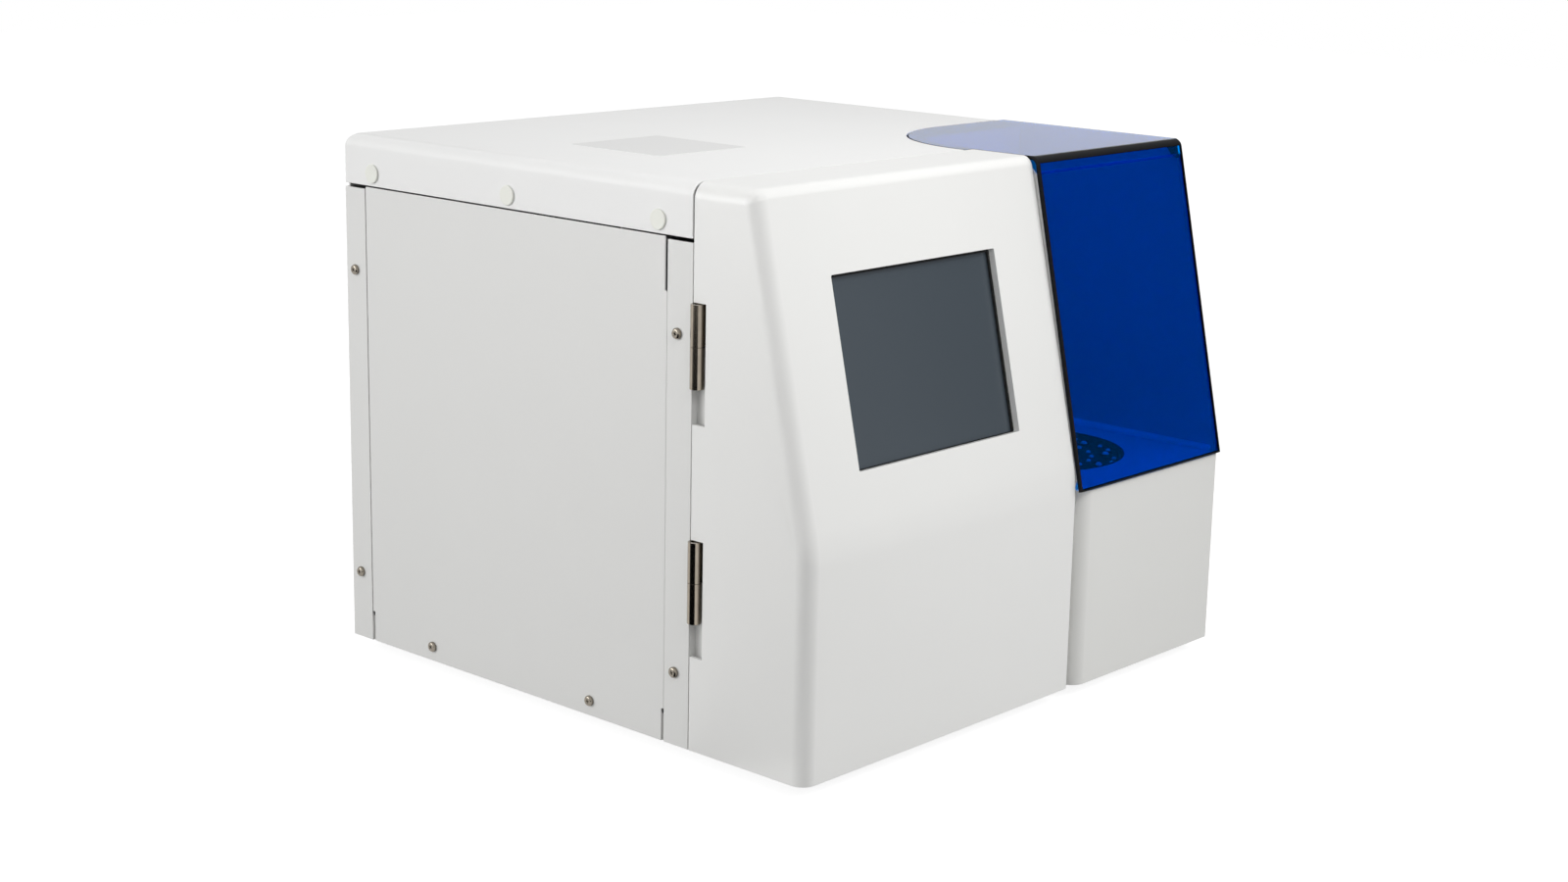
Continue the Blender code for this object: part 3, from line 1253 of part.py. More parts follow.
def column_oven(datum, metal, steel):
    """Make the heater block with its open groove, and the column lying in it."""
    middle = OVEN_LEFT + OVEN_WIDTH / 2
    top = OVEN_BOTTOM + OVEN_HEIGHT
    bm = bmesh.new()
    block(bm, (OVEN_LEFT, OVEN_FRONT, OVEN_BOTTOM), (OVEN_LEFT + OVEN_WIDTH, MOUNT_FACE, top))
    oven = add_piece("column_oven", bm, datum, metal)
    half = COLUMN_RADIUS + GAP
    bm = bmesh.new()
    block(
        bm,
        (middle - half, OVEN_FRONT - OVERRUN, OVEN_BOTTOM - OVERRUN),
        (middle + half, COLUMN_DEPTH + half, top + OVERRUN),
    )
    cut(oven, bm, datum)
    low = OVEN_BOTTOM + (OVEN_HEIGHT - COLUMN_LENGTH) / 2
    high = low + COLUMN_LENGTH
    nut = COLUMN_NUT_RADIUS
    profile = [(0, low), (nut, low), (nut, low + COLUMN_NUT), (COLUMN_RADIUS, low + COLUMN_NUT)]
    profile += [(COLUMN_RADIUS, high - COLUMN_NUT), (nut, high - COLUMN_NUT), (nut, high), (0, high)]
    bm = bmesh.new()
    turned(bm, profile, "Z", (middle, COLUMN_DEPTH), SCREW_SIDES)
    add_piece("analysis_column", bm, datum, steel)


def injection_valve(datum, pivot, dark, steel):
    """Make the injection valve's body and the rotor that turns in it."""
    centre = (VALVE_X, VALVE_Z)
    bm = bmesh.new()
    prism(bm, circle(centre, VALVE_RADIUS, FOOT_SIDES), "Y", VALVE_FRONT, MOUNT_FACE)
    body = add_piece("injection_valve", bm, datum, dark)
    bm = bmesh.new()
    ring = circle(centre, VALVE_BORE_RADIUS, SCREW_SIDES)
    prism(bm, ring, "Y", VALVE_FRONT - OVERRUN, VALVE_FRONT + VALVE_SHAFT + GAP)
    cut(body, bm, datum)
    face = VALVE_FRONT - GAP
    bm = bmesh.new()
    prism(bm, circle(centre, VALVE_KNOB_RADIUS, VALVE_KNOB_SIDES), "Y", face - VALVE_KNOB, face)
    rotor = add_piece("valve_rotor", bm, pivot, steel, pivot.location)
    bm = bmesh.new()
    ring = circle(centre, VALVE_SHAFT_RADIUS, SCREW_SIDES)
    prism(bm, ring, "Y", face - VALVE_KNOB / 2, VALVE_FRONT + VALVE_SHAFT)
    join(rotor, bm, datum)


def pump_unit(datum, dark):
    """Make the high-pressure pump with its two heads."""
    bm = bmesh.new()
    top = PUMP_BOTTOM + PUMP_HEIGHT
    block(bm, (PUMP_LEFT, PUMP_FRONT, PUMP_BOTTOM), (PUMP_LEFT + PUMP_WIDTH, MOUNT_FACE, top))
    pump = add_piece("pump_unit", bm, datum, dark)
    bm = bmesh.new()
    for share in PUMP_HEAD_SHARES:
        centre = (PUMP_LEFT + PUMP_WIDTH * share, PUMP_BOTTOM + PUMP_HEIGHT / 2)
        ring = circle(centre, PUMP_HEAD_RADIUS, SCREW_SIDES)
        prism(bm, ring, "Y", PUMP_FRONT - PUMP_HEAD_LENGTH, PUMP_FRONT + PUMP_HEAD_LENGTH)
    join(pump, bm, datum)


def detector_unit(datum, plastic):
    """Make the optical detector with its flow cell's boss."""
    right = DETECTOR_LEFT + DETECTOR_WIDTH
    top = DETECTOR_BOTTOM + DETECTOR_HEIGHT
    bm = bmesh.new()
    block(bm, (DETECTOR_LEFT, DETECTOR_FRONT, DETECTOR_BOTTOM), (right, MOUNT_FACE, top))
    detector = add_piece("detector_unit", bm, datum, plastic)
    centre = (DETECTOR_LEFT + DETECTOR_WIDTH / 2, DETECTOR_BOTTOM + DETECTOR_HEIGHT / 2)
    bm = bmesh.new()
    ring = circle(centre, DETECTOR_CELL_RADIUS, FOOT_SIDES)
    prism(bm, ring, "Y", DETECTOR_FRONT - DETECTOR_CELL, DETECTOR_FRONT + DETECTOR_CELL)
    join(detector, bm, datum)


def electronics(datum, metal, board_green):
    """Make the power supply's box and the control board on its standoffs."""
    bm = bmesh.new()
    block(
        bm,
        (SUPPLY_LEFT, SUPPLY_FRONT, STAND),
        (SUPPLY_LEFT + SUPPLY_WIDTH, SUPPLY_FRONT + SUPPLY_LENGTH, STAND + SUPPLY_HEIGHT),
    )
    add_piece("power_supply", bm, datum, metal)
    back = PANEL_DEPTH + SHEET + GAP
    face = back + STANDOFF_LENGTH
    right = BOARD_LEFT + BOARD_WIDTH
    top = BOARD_BOTTOM + BOARD_HEIGHT
    bm = bmesh.new()
    block(bm, (BOARD_LEFT, face, BOARD_BOTTOM), (right, face + BOARD_THICKNESS, top))
    board = add_piece("control_board", bm, datum, board_green)
    bm = bmesh.new()
    for x in (BOARD_LEFT + STANDOFF_INSET, right - STANDOFF_INSET):
        for z in (BOARD_BOTTOM + STANDOFF_INSET, top - STANDOFF_INSET):
            ring = circle((x, z), STANDOFF_RADIUS, WELL_SIDES)
            prism(bm, ring, "Y", back, face + BOARD_THICKNESS / 2)
    join(board, bm, datum)


def fan(datum, pivot, dark):
    """Make the cooling fan's frame and its bladed rotor."""
    rear = REAR_PANEL_INSIDE - GAP
    front = rear - FAN_LENGTH
    centre = (FAN_X, FAN_Z)
    half = FAN_SIDE / 2
    bm = bmesh.new()
    block(bm, (FAN_X - half, front, FAN_Z - half), (FAN_X + half, rear, FAN_Z + half))
    frame = add_piece("fan_frame", bm, datum, dark)
    bm = bmesh.new()
    prism(bm, circle(centre, FAN_BORE_RADIUS, FAN_SIDES), "Y", front - OVERRUN, rear + OVERRUN)
    cut(frame, bm, datum)
    bm = bmesh.new()
    plate = rear - FAN_PLATE
    prism(bm, circle(centre, FAN_PLATE_RADIUS, FAN_SIDES), "Y", plate, rear)
    join(frame, bm, datum)
    reach = (FAN_BORE_RADIUS + half) / 2
    spans = ((reach, FAN_STRUT / 2), (FAN_STRUT / 2, reach))
    for share, (span_x, span_z) in zip(STRUT_INSET_SHARES, spans):
        inset = FAN_PLATE * share
        bm = bmesh.new()
        block(
            bm,
            (FAN_X - span_x, plate + inset, FAN_Z - span_z),
            (FAN_X + span_x, rear - inset, FAN_Z + span_z),
        )
        join(frame, bm, datum)
    bm = bmesh.new()
    ring = circle(centre, FAN_SPINDLE_BORE, SCREW_SIDES)
    prism(bm, ring, "Y", plate - OVERRUN, rear + OVERRUN)
    cut(frame, bm, datum)
    hub_rear = plate - 2 * GAP
    hub_front = hub_rear - FAN_HUB_LENGTH
    profile = [(0, hub_front), (FAN_HUB_RADIUS, hub_front), (FAN_HUB_RADIUS, hub_rear)]
    profile += [(FAN_SPINDLE_RADIUS, hub_rear), (FAN_SPINDLE_RADIUS, plate + FAN_SPINDLE)]
    profile += [(0, plate + FAN_SPINDLE)]
    bm = bmesh.new()
    turned(bm, profile, "Y", centre, FAN_SIDES)
    rotor = add_piece("fan_rotor", bm, pivot, dark, pivot.location)
    blades = bmesh.new()
    middle = (hub_front + hub_rear) / 2
    chord = FAN_HUB_LENGTH * BLADE_CHORD_SHARE
    for number in range(FAN_BLADE_COUNT):
        blade = bmesh.new()
        block(
            blade,
            (FAN_HUB_RADIUS * BLADE_ROOT_SHARE, -chord / 2, -FAN_BLADE_THICKNESS / 2),
            (FAN_BLADE_RADIUS, chord / 2, FAN_BLADE_THICKNESS / 2),
        )
        tilt = Matrix.Rotation(radians(FAN_BLADE_TILT_DEG), 4, "X")
        turn = Matrix.Rotation(2 * pi * number / FAN_BLADE_COUNT, 4, "Y")
        blade.transform(Matrix.Translation((FAN_X, middle, FAN_Z)) @ turn @ tilt)
        spare = bpy.data.meshes.new("fan_blade")
        blade.to_mesh(spare)
        blade.free()
        blades.from_mesh(spare)
        bpy.data.meshes.remove(spare)
    join(rotor, blades, datum)


def power_inlet(datum, pivot, dark, light):
    """Make the power inlet with its switch window, and the rocker in it."""
    left = INLET_X - INLET_WIDTH / 2
    right = INLET_X + INLET_WIDTH / 2
    bottom = INLET_Z - INLET_HEIGHT / 2
    top = INLET_Z + INLET_HEIGHT / 2
    flange = REAR_PANEL_FACE + GAP
    face = flange + INLET_FLANGE_THICKNESS
    bm = bmesh.new()
    block(
        bm,
        (left - INLET_FLANGE, flange, bottom - INLET_FLANGE),
        (right + INLET_FLANGE, face, top + INLET_FLANGE),
    )
    inlet = add_piece("power_inlet", bm, datum, dark)
    bm = bmesh.new()
    block(bm, (left, face - INLET_LENGTH, bottom), (right, face - GAP, top))
    join(inlet, bm, datum)
    bm = bmesh.new()
    recess = bottom + RECESS_BOTTOM
    block(
        bm,
        (INLET_X - RECESS_WIDTH / 2, face - RECESS_DEPTH, recess),
        (INLET_X + RECESS_WIDTH / 2, face + OVERRUN, recess + RECESS_HEIGHT),
    )
    window = bottom + ROCKER_WINDOW_BOTTOM
    block(
        bm,
        (INLET_X - ROCKER_WINDOW_WIDTH / 2, face - ROCKER_WINDOW_DEPTH, window),
        (INLET_X + ROCKER_WINDOW_WIDTH / 2, face + OVERRUN, window + ROCKER_WINDOW_HEIGHT),
    )
    cut(inlet, bm, datum)
    bm = bmesh.new()
    for step in (-1, 0, 1):
        x = INLET_X + step * BLADE_PITCH
        block(
            bm,
            (x - BLADE_WIDTH / 2, face - RECESS_DEPTH - BLADE_WIDTH, recess + BLADE_RISE),
            (x + BLADE_WIDTH / 2, face - RECESS_DEPTH + BLADE_LENGTH, recess + BLADE_RISE + BLADE_HEIGHT),
        )
    join(inlet, bm, datum)
    half = ROCKER_HALF_HEIGHT
    profile = [(ROCKER_CREST, half), (ROCKER_SADDLE, 0), (ROCKER_CREST, -half), (0, -half)]
    profile += [(-ROCKER_ROOT, -ROCKER_ROOT_HALF_HEIGHT), (-ROCKER_ROOT, ROCKER_ROOT_HALF_HEIGHT)]
    profile += [(0, half)]
    turn = Matrix.Rotation(radians(ROCKER_REST_DEG), 2)
    x, y, z = pivot.location
    placed = [turn @ Vector(point) for point in profile]
    bm = bmesh.new()
    outline = [(y + point.x, z + point.y) for point in placed]
    prism(bm, outline, "X", x - ROCKER_WIDTH / 2, x + ROCKER_WIDTH / 2)
    add_piece("power_rocker", bm, pivot, light, pivot.location)


def fluid_port_block(datum, plastic):
    """Make the rear block where the buffer and waste lines plug on."""
    flange = REAR_PANEL_FACE + GAP
    width = PORT_PITCH * PORT_COUNT
    face = flange + PORT_THICKNESS
    bm = bmesh.new()
    block(bm, (PORT_LEFT, flange, PORT_BOTTOM), (PORT_LEFT + width, face, PORT_BOTTOM + PORT_HEIGHT))
    ports = add_piece("fluid_port_block", bm, datum, plastic)
    nipples = bmesh.new()
    bores = bmesh.new()
    for number in range(PORT_COUNT):
        centre = (PORT_LEFT + PORT_PITCH * (2 * number + 1) / 2, PORT_BOTTOM + PORT_HEIGHT / 2)
        ring = circle(centre, PORT_NIPPLE_RADIUS, PORT_SIDES)
        prism(nipples, ring, "Y", face - PORT_THICKNESS / 2, face + PORT_NIPPLE)
        ring = circle(centre, PORT_BORE_RADIUS, PORT_SIDES)
        prism(bores, ring, "Y", flange - OVERRUN, face + PORT_NIPPLE + OVERRUN)
    join(ports, nipples, datum)
    cut(ports, bores, datum)


def pivot_at(name, place, datum):
    """Return an empty on a joint's axis."""
    pivot = bpy.data.objects.new(name, None)
    bpy.context.scene.collection.objects.link(pivot)
    pivot.parent = datum
    pivot.location = place
    return pivot


def stand_on_floor(datum):
    """Move the datum so that the feet stand on the floor, centred on the origin."""
    bpy.context.view_layer.update()
    graph = bpy.context.evaluated_depsgraph_get()
    corners = []
    for piece in bpy.data.objects:
        if piece.type == "MESH" and not piece.hide_render:
            solid = piece.evaluated_get(graph)
            corners += [solid.matrix_world @ Vector(corner) for corner in solid.bound_box]
    low = [min(corner[axis] for corner in corners) for axis in range(3)]
    high = [max(corner[axis] for corner in corners) for axis in range(3)]
    datum.location = (-(low[0] + high[0]) / 2, -(low[1] + high[1]) / 2, -low[2])


def main():
    """Build every piece in its place."""
    datum = start_scene()
    paint = finish("white_powder_coat", (0.80, 0.80, 0.79), 0.45)
    cover_paint = finish("white_moulded_shell", (0.84, 0.84, 0.83), 0.35)
    cap_plastic = finish("white_cap_plastic", (0.78, 0.77, 0.75), 0.4)
    steel = finish("nickel_steel", (0.45, 0.44, 0.42), 0.3, 1.0)
    acrylic = finish("blue_acrylic", (0.0, 0.05, 0.40), 0.1)
    glass = finish("display_glass", (0.06, 0.08, 0.10), 0.1)
    dark = finish("black_plastic", (0.03, 0.03, 0.03), 0.5)
    rotor_plastic = finish("rotor_plastic", (0.08, 0.08, 0.09), 0.4)
    metal = finish("bare_aluminium", (0.60, 0.61, 0.62), 0.35, 1.0)
    rubber = finish("foot_rubber", (0.02, 0.02, 0.02), 0.8)
    board_green = finish("circuit_board", (0.02, 0.16, 0.06), 0.5)

    base_pan(datum, paint)
    feet(datum, rubber)
    rear_panel(datum, paint)
    left_side_panel(datum, paint)
    right_side_panel(datum, paint)
    front_post(datum, paint)
    rear_post(datum, paint)
    side_screws(datum, steel)
    side_caps(datum, cap_plastic)
    top_cover(datum, paint)

    door_pivot = pivot_at("front_door_pivot", (0, HINGE_AXIS_DEPTH, 0), datum)
    front_door_shell(datum, door_pivot, cover_paint)
    display(door_pivot, glass, dark)
    for name, bottom in HINGE_BOTTOMS.items():
        door_hinge(name, bottom, datum, door_pivot, steel)

    lower_right_cover(datum, cover_paint)
    sample_deck(datum, paint)
    bay_walls(datum, paint)
    bay_top_frame(datum, cover_paint)
    lid_place = (LID_BAR_LEFT, LID_AXIS_DEPTH, LID_AXIS_HEIGHT)
    lid_pivot = pivot_at("sample_lid_pivot", lid_place, datum)
    sample_lid(datum, lid_pivot, acrylic)
    lid_hinge(datum, lid_pivot, steel)

    rotor_pivot = pivot_at("carousel_pivot", (CAROUSEL_X, CAROUSEL_Y, DECK_TOP), datum)
    carousel(datum, rotor_pivot, rotor_plastic, paint, steel, dark)
    screw_place = (BAY_LEFT + TOWER_WIDTH / 2, SCREW_AXIS_DEPTH, TOWER_TOP)
    screw_pivot = pivot_at("lead_screw_pivot", screw_place, datum)
    sampler(datum, screw_pivot, paint, steel, cap_plastic)

    fluidics_panel(datum, paint)
    column_oven(datum, metal, steel)
    valve_pivot = pivot_at("valve_pivot", (VALVE_X, VALVE_FRONT, VALVE_Z), datum)
    injection_valve(datum, valve_pivot, dark, steel)
    pump_unit(datum, metal)
    detector_unit(datum, cap_plastic)
    electronics(datum, metal, board_green)

    fan_place = (FAN_X, REAR_PANEL_INSIDE - GAP - FAN_LENGTH, FAN_Z)
    fan(datum, pivot_at("fan_pivot", fan_place, datum), dark)
    face = REAR_PANEL_FACE + GAP + INLET_FLANGE_THICKNESS
    window_middle = INLET_Z - INLET_HEIGHT / 2 + ROCKER_WINDOW_BOTTOM + ROCKER_WINDOW_HEIGHT / 2
    rocker_place = (INLET_X, face - ROCKER_PIVOT_DEPTH, window_middle)
    rocker_pivot = pivot_at("power_rocker_pivot", rocker_place, datum)
    power_inlet(datum, rocker_pivot, dark, rotor_plastic)
    fluid_port_block(datum, cap_plastic)
    stand_on_floor(datum)


main()
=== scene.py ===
"""Looks of a glycated hemoglobin analyzer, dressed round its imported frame.

The sizes below are metres in the cabinet's own frame: X to the right, Y to the
back, Z up, from the front-left-bottom corner of the cabinet. Each piece is
moved to the frame's place when it is finished.
"""

import logging
from collections.abc import Callable, Iterable, Iterator
from contextlib import contextmanager
from dataclasses import dataclass, field
from enum import Enum
from math import atan, hypot, pi, radians, tan

import bmesh
import bpy
from mathutils import Euler, Matrix, Vector


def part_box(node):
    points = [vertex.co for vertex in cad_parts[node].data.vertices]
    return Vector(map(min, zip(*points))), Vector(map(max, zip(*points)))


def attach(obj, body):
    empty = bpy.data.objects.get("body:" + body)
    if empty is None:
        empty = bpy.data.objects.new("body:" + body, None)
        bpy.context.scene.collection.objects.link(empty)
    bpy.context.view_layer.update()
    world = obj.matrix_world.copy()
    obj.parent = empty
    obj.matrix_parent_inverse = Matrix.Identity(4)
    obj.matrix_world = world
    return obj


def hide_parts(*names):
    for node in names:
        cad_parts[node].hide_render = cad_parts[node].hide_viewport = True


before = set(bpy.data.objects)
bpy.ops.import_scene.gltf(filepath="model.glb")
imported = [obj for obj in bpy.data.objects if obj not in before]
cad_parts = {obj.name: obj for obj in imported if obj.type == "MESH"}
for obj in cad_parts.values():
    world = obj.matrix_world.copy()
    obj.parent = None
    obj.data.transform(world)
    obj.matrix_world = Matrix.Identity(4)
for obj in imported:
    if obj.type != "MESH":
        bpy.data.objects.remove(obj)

LOG = logging.getLogger("analyzer")
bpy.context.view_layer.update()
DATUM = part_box("front_door_shell")[0]
OVERRUN = 0.010
GAP = 0.0003
FACING_SHARE = 0.9
EASE_FINE = 0.0003
EASE_ROLLED = 0.0004
EASE_SHEET = 0.0006

Point = tuple[float, float, float]
Colour = tuple[float, float, float, float]


class Body(Enum):
    """The rigid bodies that a piece can ride on."""

    CABINET = "cabinet"
    DOOR = "door"
    LID = "lid"
    CAROUSEL = "carousel"
    SCREW = "screw"
    CARRIAGE = "carriage"
    VALVE = "valve"
    FAN = "fan"
    ROCKER = "rocker"


def linear(hex_colour: str) -> Colour:
    """Turn an sRGB hex colour into a linear one.

    Args:
        hex_colour: six hex digits, with or without a leading hash mark.

    Returns:
        Red, green, blue and an alpha of one.
    """
    digits = hex_colour.lstrip("#")
    values = [int(digits[place : place + 2], 16) / 255 for place in (0, 2, 4)]
    red, green, blue = (v / 12.92 if v <= 0.04045 else ((v + 0.055) / 1.055) ** 2.4 for v in values)
    return (red, green, blue, 1.0)


def add_node(
    tree: bpy.types.NodeTree,
    kind: str,
    links: dict[str | int, bpy.types.NodeSocket] | None = None,
    inputs: dict[str | int, object] | None = None,
    **settings: object,
) -> bpy.types.Node:
    """Add a node with its settings, values and links.

    Args:
        tree: the node tree to add to.
        kind: the node's type name.
        links: input socket to the output that feeds it.
        inputs: input socket to its constant value.
        settings: attributes of the node.

    Returns:
        The new node.
    """
    node = tree.nodes.new(kind)
    for name, value in settings.items():
        setattr(node, name, value)
    for name, value in (inputs or {}).items():
        node.inputs[name].default_value = value
    for name, source in (links or {}).items():
        tree.links.new(source, node.inputs[name])
    return node


@dataclass(frozen=True)
class Finish:
    """A finish with a slight variation of colour and gloss and a fine relief.

    The grain is the real spacing of the relief in metres, and the relief is
    the height of its hills.
    """

    name: str
    slot: str
    colour: str
    roughness: float
    metallic: float = 0.0
    ior: float = 1.5
    coat: float = 0.0
    coat_roughness: float = 0.1
    grain: float = 0.0012
    relief: float = 0.00001
    stretch: Point = (1.0, 1.0, 1.0)
    tone: float = 0.02
    patch: float = 0.06
    gloss_spread: float = 0.04

    def make(self) -> bpy.types.Material:
        """Make the material.

        Returns:
            The finished material.
        """
        material = bpy.data.materials.new(self.name)
        material.use_nodes = True
        tree = material.node_tree
        shader = tree.nodes["Principled BSDF"]
        shader.inputs["Metallic"].default_value = self.metallic
        shader.inputs["IOR"].default_value = self.ior
        shader.inputs["Coat Weight"].default_value = self.coat
        shader.inputs["Coat Roughness"].default_value = self.coat_roughness
        place = add_node(tree, "ShaderNodeTexCoord")
        stretched = add_node(
            tree,
            "ShaderNodeMapping",
            {"Vector": place.outputs["Object"]},
            {"Scale": self.stretch},
        )
        self.colour_nodes(tree, shader, place.outputs["Object"], stretched.outputs["Vector"])
        self.relief_nodes(tree, shader, stretched.outputs["Vector"])
        return material

    def colour_nodes(
        self,
        tree: bpy.types.NodeTree,
        shader: bpy.types.Node,
        place: bpy.types.NodeSocket,
        stretched: bpy.types.NodeSocket,
    ) -> None:
        """Vary the colour and the gloss over the surface.

        Args:
            tree: the material's tree.
            shader: its shader.
            place: the place on the piece.
            stretched: the same, drawn out along the grain.
        """
        base = linear(self.colour)
        clouds = add_node(
            tree,
            "ShaderNodeTexNoise",
            {"Vector": place},
            {"Scale": 1 / self.patch, "Detail": 3.0, "Roughness": 0.5},
        )
        dark = tuple(channel * (1 - self.tone) for channel in base[:3]) + (1.0,)
        blend = add_node(
            tree,
            "ShaderNodeMix",
            {"Factor": clouds.outputs["Fac"]},
            {"A": dark, "B": base},
            data_type="RGBA",
        )
        tree.links.new(blend.outputs["Result"], shader.inputs["Base Color"])
        streaks = add_node(
            tree,
            "ShaderNodeTexNoise",
            {"Vector": stretched},
            {"Scale": 1 / (6 * self.grain), "Detail": 4.0, "Roughness": 0.6},
        )
        gloss = add_node(
            tree,
            "ShaderNodeMapRange",
            {"Value": streaks.outputs["Fac"]},
            {
                "To Min": self.roughness - self.gloss_spread,
                "To Max": self.roughness + self.gloss_spread,
            },
        )
        tree.links.new(gloss.outputs["Result"], shader.inputs["Roughness"])

    def relief_nodes(
        self, tree: bpy.types.NodeTree, shader: bpy.types.Node, stretched: bpy.types.NodeSocket
    ) -> None:
        """Give the surface its fine relief.

        Args:
            tree: the material's tree.
            shader: its shader.
            stretched: the place on the piece, drawn out along the grain.
        """
        hills = add_node(
            tree,
            "ShaderNodeTexNoise",
            {"Vector": stretched},
            {"Scale": 1 / self.grain, "Detail": 2.0, "Roughness": 0.5},
        )
        bump = add_node(
            tree,
            "ShaderNodeBump",
            {"Height": hills.outputs["Fac"]},
            {"Strength": 1.0, "Distance": self.relief},
        )
        tree.links.new(bump.outputs["Normal"], shader.inputs["Normal"])


@dataclass(frozen=True)
class ClearSheet(Finish):
    """A transparent tinted sheet with polished faces."""

    def make(self) -> bpy.types.Material:
        """Make the material, with light passing through it."""
        material = super().make()
        shader = material.node_tree.nodes["Principled BSDF"]
        shader.inputs["Transmission Weight"].default_value = 1.0
        return material


class Finishes:
    """The finishes of the machine, each made once."""

    SPECS: tuple[Finish, ...] = (
        # Powder-coated steel sheet: an even off-white with a fine orange-peel relief.
        Finish("powder_coated_steel", "cabinet_paint", "E4E4E2", 0.42, grain=0.0011, relief=0.000006),
        # The top cover's own batch of powder coat: whiter, with the same orange peel.
        Finish("white_powder_coated_steel", "cabinet_paint", "F1F1F0", 0.40, grain=0.0011, relief=0.000006),
        # Moulded shell, sprayed with satin two-part paint: smoother and slightly glossier.
        Finish("sprayed_moulded_shell", "shell_white", "EFEFED", 0.30, grain=0.0016, relief=0.000004),
        # Moulded nylon of the plug caps: warmer and softer than the paint.
        Finish("moulded_nylon", "cap_white", "EEEFE7", 0.38, grain=0.0006, relief=0.000004),
        # Rolled steel with dull nickel plate: fine streaks along the draw.
        Finish(
            "nickel_plated_steel", "nickel_steel", "8F887D", 0.16, metallic=1.0, grain=0.0004,
            relief=0.000003, stretch=(1.0, 1.0, 0.15), tone=0.15, patch=0.006, gloss_spread=0.08,
        ),
        # Rolled hinge knuckles: drawn steel with dark and bright streaks along the roll.
        Finish(
            "rolled_nickel_steel", "nickel_steel", "A69C8E", 0.15, metallic=1.0, grain=0.0012,
            relief=0.000004, stretch=(1.0, 1.0, 0.012), tone=0.3, patch=0.006, gloss_spread=0.08,
        ),
        # Ground stainless rod: bright, with rings round the axis.
        Finish(
            "ground_stainless_steel", "steel_rod", "C4C3C0", 0.22, metallic=1.0, grain=0.0003,
            relief=0.000002, stretch=(0.2, 0.2, 1.0), tone=0.08, patch=0.01, gloss_spread=0.05,
        ),
        # Extruded acrylic sheet, dyed cobalt blue, with polished faces.
        ClearSheet(
            "tinted_acrylic_sheet", "blue_acrylic", "0088F4", 0.03, ior=1.49, grain=0.02,
            relief=0.000001, tone=0.02, patch=0.2, gloss_spread=0.01,
        ),
        # Sawn edge and heat-bent fold of the same sheet, coloured near black: painted shade for the dark look
        # that light trapped in the sheet gives them.
        Finish(
            "acrylic_edge_painted_shade", "blue_acrylic", "040509", 0.60, ior=1.3, grain=0.0006,
            relief=0.000003, tone=0.3,
        ),
        # Anti-glare touch panel over a display that is off: slate, softly mirroring.
        Finish(
            "etched_touch_panel", "display_glass", "3E474F", 0.34, grain=0.0004, relief=0.000001,
            tone=0.06, patch=0.09, gloss_spread=0.02,
        ),
        # Moulded ABS, spark-eroded texture: a matt black.
        Finish("moulded_black_abs", "black_plastic", "1D1D1E", 0.48, grain=0.0007, relief=0.00001, tone=0.1),
        # Turned acetal: dark grey with a soft sheen.
        Finish("turned_acetal", "grey_plastic", "2B2D31", 0.36, grain=0.0005, relief=0.000003, tone=0.1),
        # Moulded carousel plate: near-black matt acetal. Its low IOR keeps the grazing sheen dark.
        Finish(
            "moulded_carousel_acetal", "grey_plastic", "0E0F12", 0.55, ior=1.16, grain=0.0005,
            relief=0.000003, tone=0.1,
        ),
        # The door's spray paint, made a shade greyer for the lower cover: painted shade for the weaker light
        # on that face.
        Finish("cover_paint_painted_shade", "shell_white", "E6E6E3", 0.30, grain=0.0009, relief=0.000004),
        # The cabinet's powder coat in a mid grey, for the sheet on the sample bay's right wall: painted shade
        # that deepens the blue seen through the lid.
        Finish("grey_painted_shade_coat", "cabinet_paint", "C4C6C9", 0.45, grain=0.0011, relief=0.000006),
        # Milled aluminium with cutter lines.
        Finish(
            "milled_aluminium", "aluminium", "B9BABC", 0.34, metallic=1.0, grain=0.0009, relief=0.000004,
            stretch=(1.0, 1.0, 0.08), tone=0.08, patch=0.02, gloss_spread=0.06,
        ),
        # Moulded rubber: matt black with a slight bloom.
        Finish("moulded_rubber", "foot_rubber", "161616", 0.78, grain=0.0008, relief=0.00002, tone=0.2),
        # Solder mask over copper: a deep green with a wet gloss.
        Finish(
            "solder_masked_board", "circuit_board", "14532D", 0.32, coat=0.3, grain=0.0015,
            relief=0.00001, tone=0.25, patch=0.012,
        ),
        # Printed polyester plate, blank: a shade greyer than the paint it is stuck on.
        Finish("blank_polyester_plate", "cabinet_paint", "E0E0DF", 0.36, grain=0.0008, relief=0.000002),
        # Near black and matt: painted shade for the shadowed gap round the display glass and for the dark gap
        # round the carousel.
        Finish("near_black_painted_shade", "black_plastic", "0C0C0D", 0.85, grain=0.0006, relief=0.00003, tone=0.2),
    )

    def __init__(self) -> None:
        """Make every finish."""
        self.specs = {spec.name: spec for spec in self.SPECS}
        self.made = {spec.name: spec.make() for spec in self.SPECS}

    def give(self, piece: bpy.types.Object, name: str) -> None:
        """Give a piece one finish on all its faces.

        Args:
            piece: the piece to dress.
            name: the finish.
        """
        piece.data.materials.clear()
        piece.data.materials.append(self.made[name])


def select_only(*pieces: bpy.types.Object) -> None:
    """Select these pieces alone, the first as the active one."""
    bpy.ops.object.select_all(action="DESELECT")
    for piece in pieces:
        piece.select_set(True)
    bpy.context.view_layer.objects.active = pieces[0]


@contextmanager
def editing(piece: bpy.types.Object) -> Iterator[None]:
    """Open a piece in edit mode, and close it again.

    Args:
        piece: the piece to edit.

    Yields:
        Nothing: the piece is in edit mode meanwhile.
    """
    select_only(piece)
    bpy.ops.object.mode_set(mode="EDIT")
    yield
    bpy.ops.object.mode_set(mode="OBJECT")


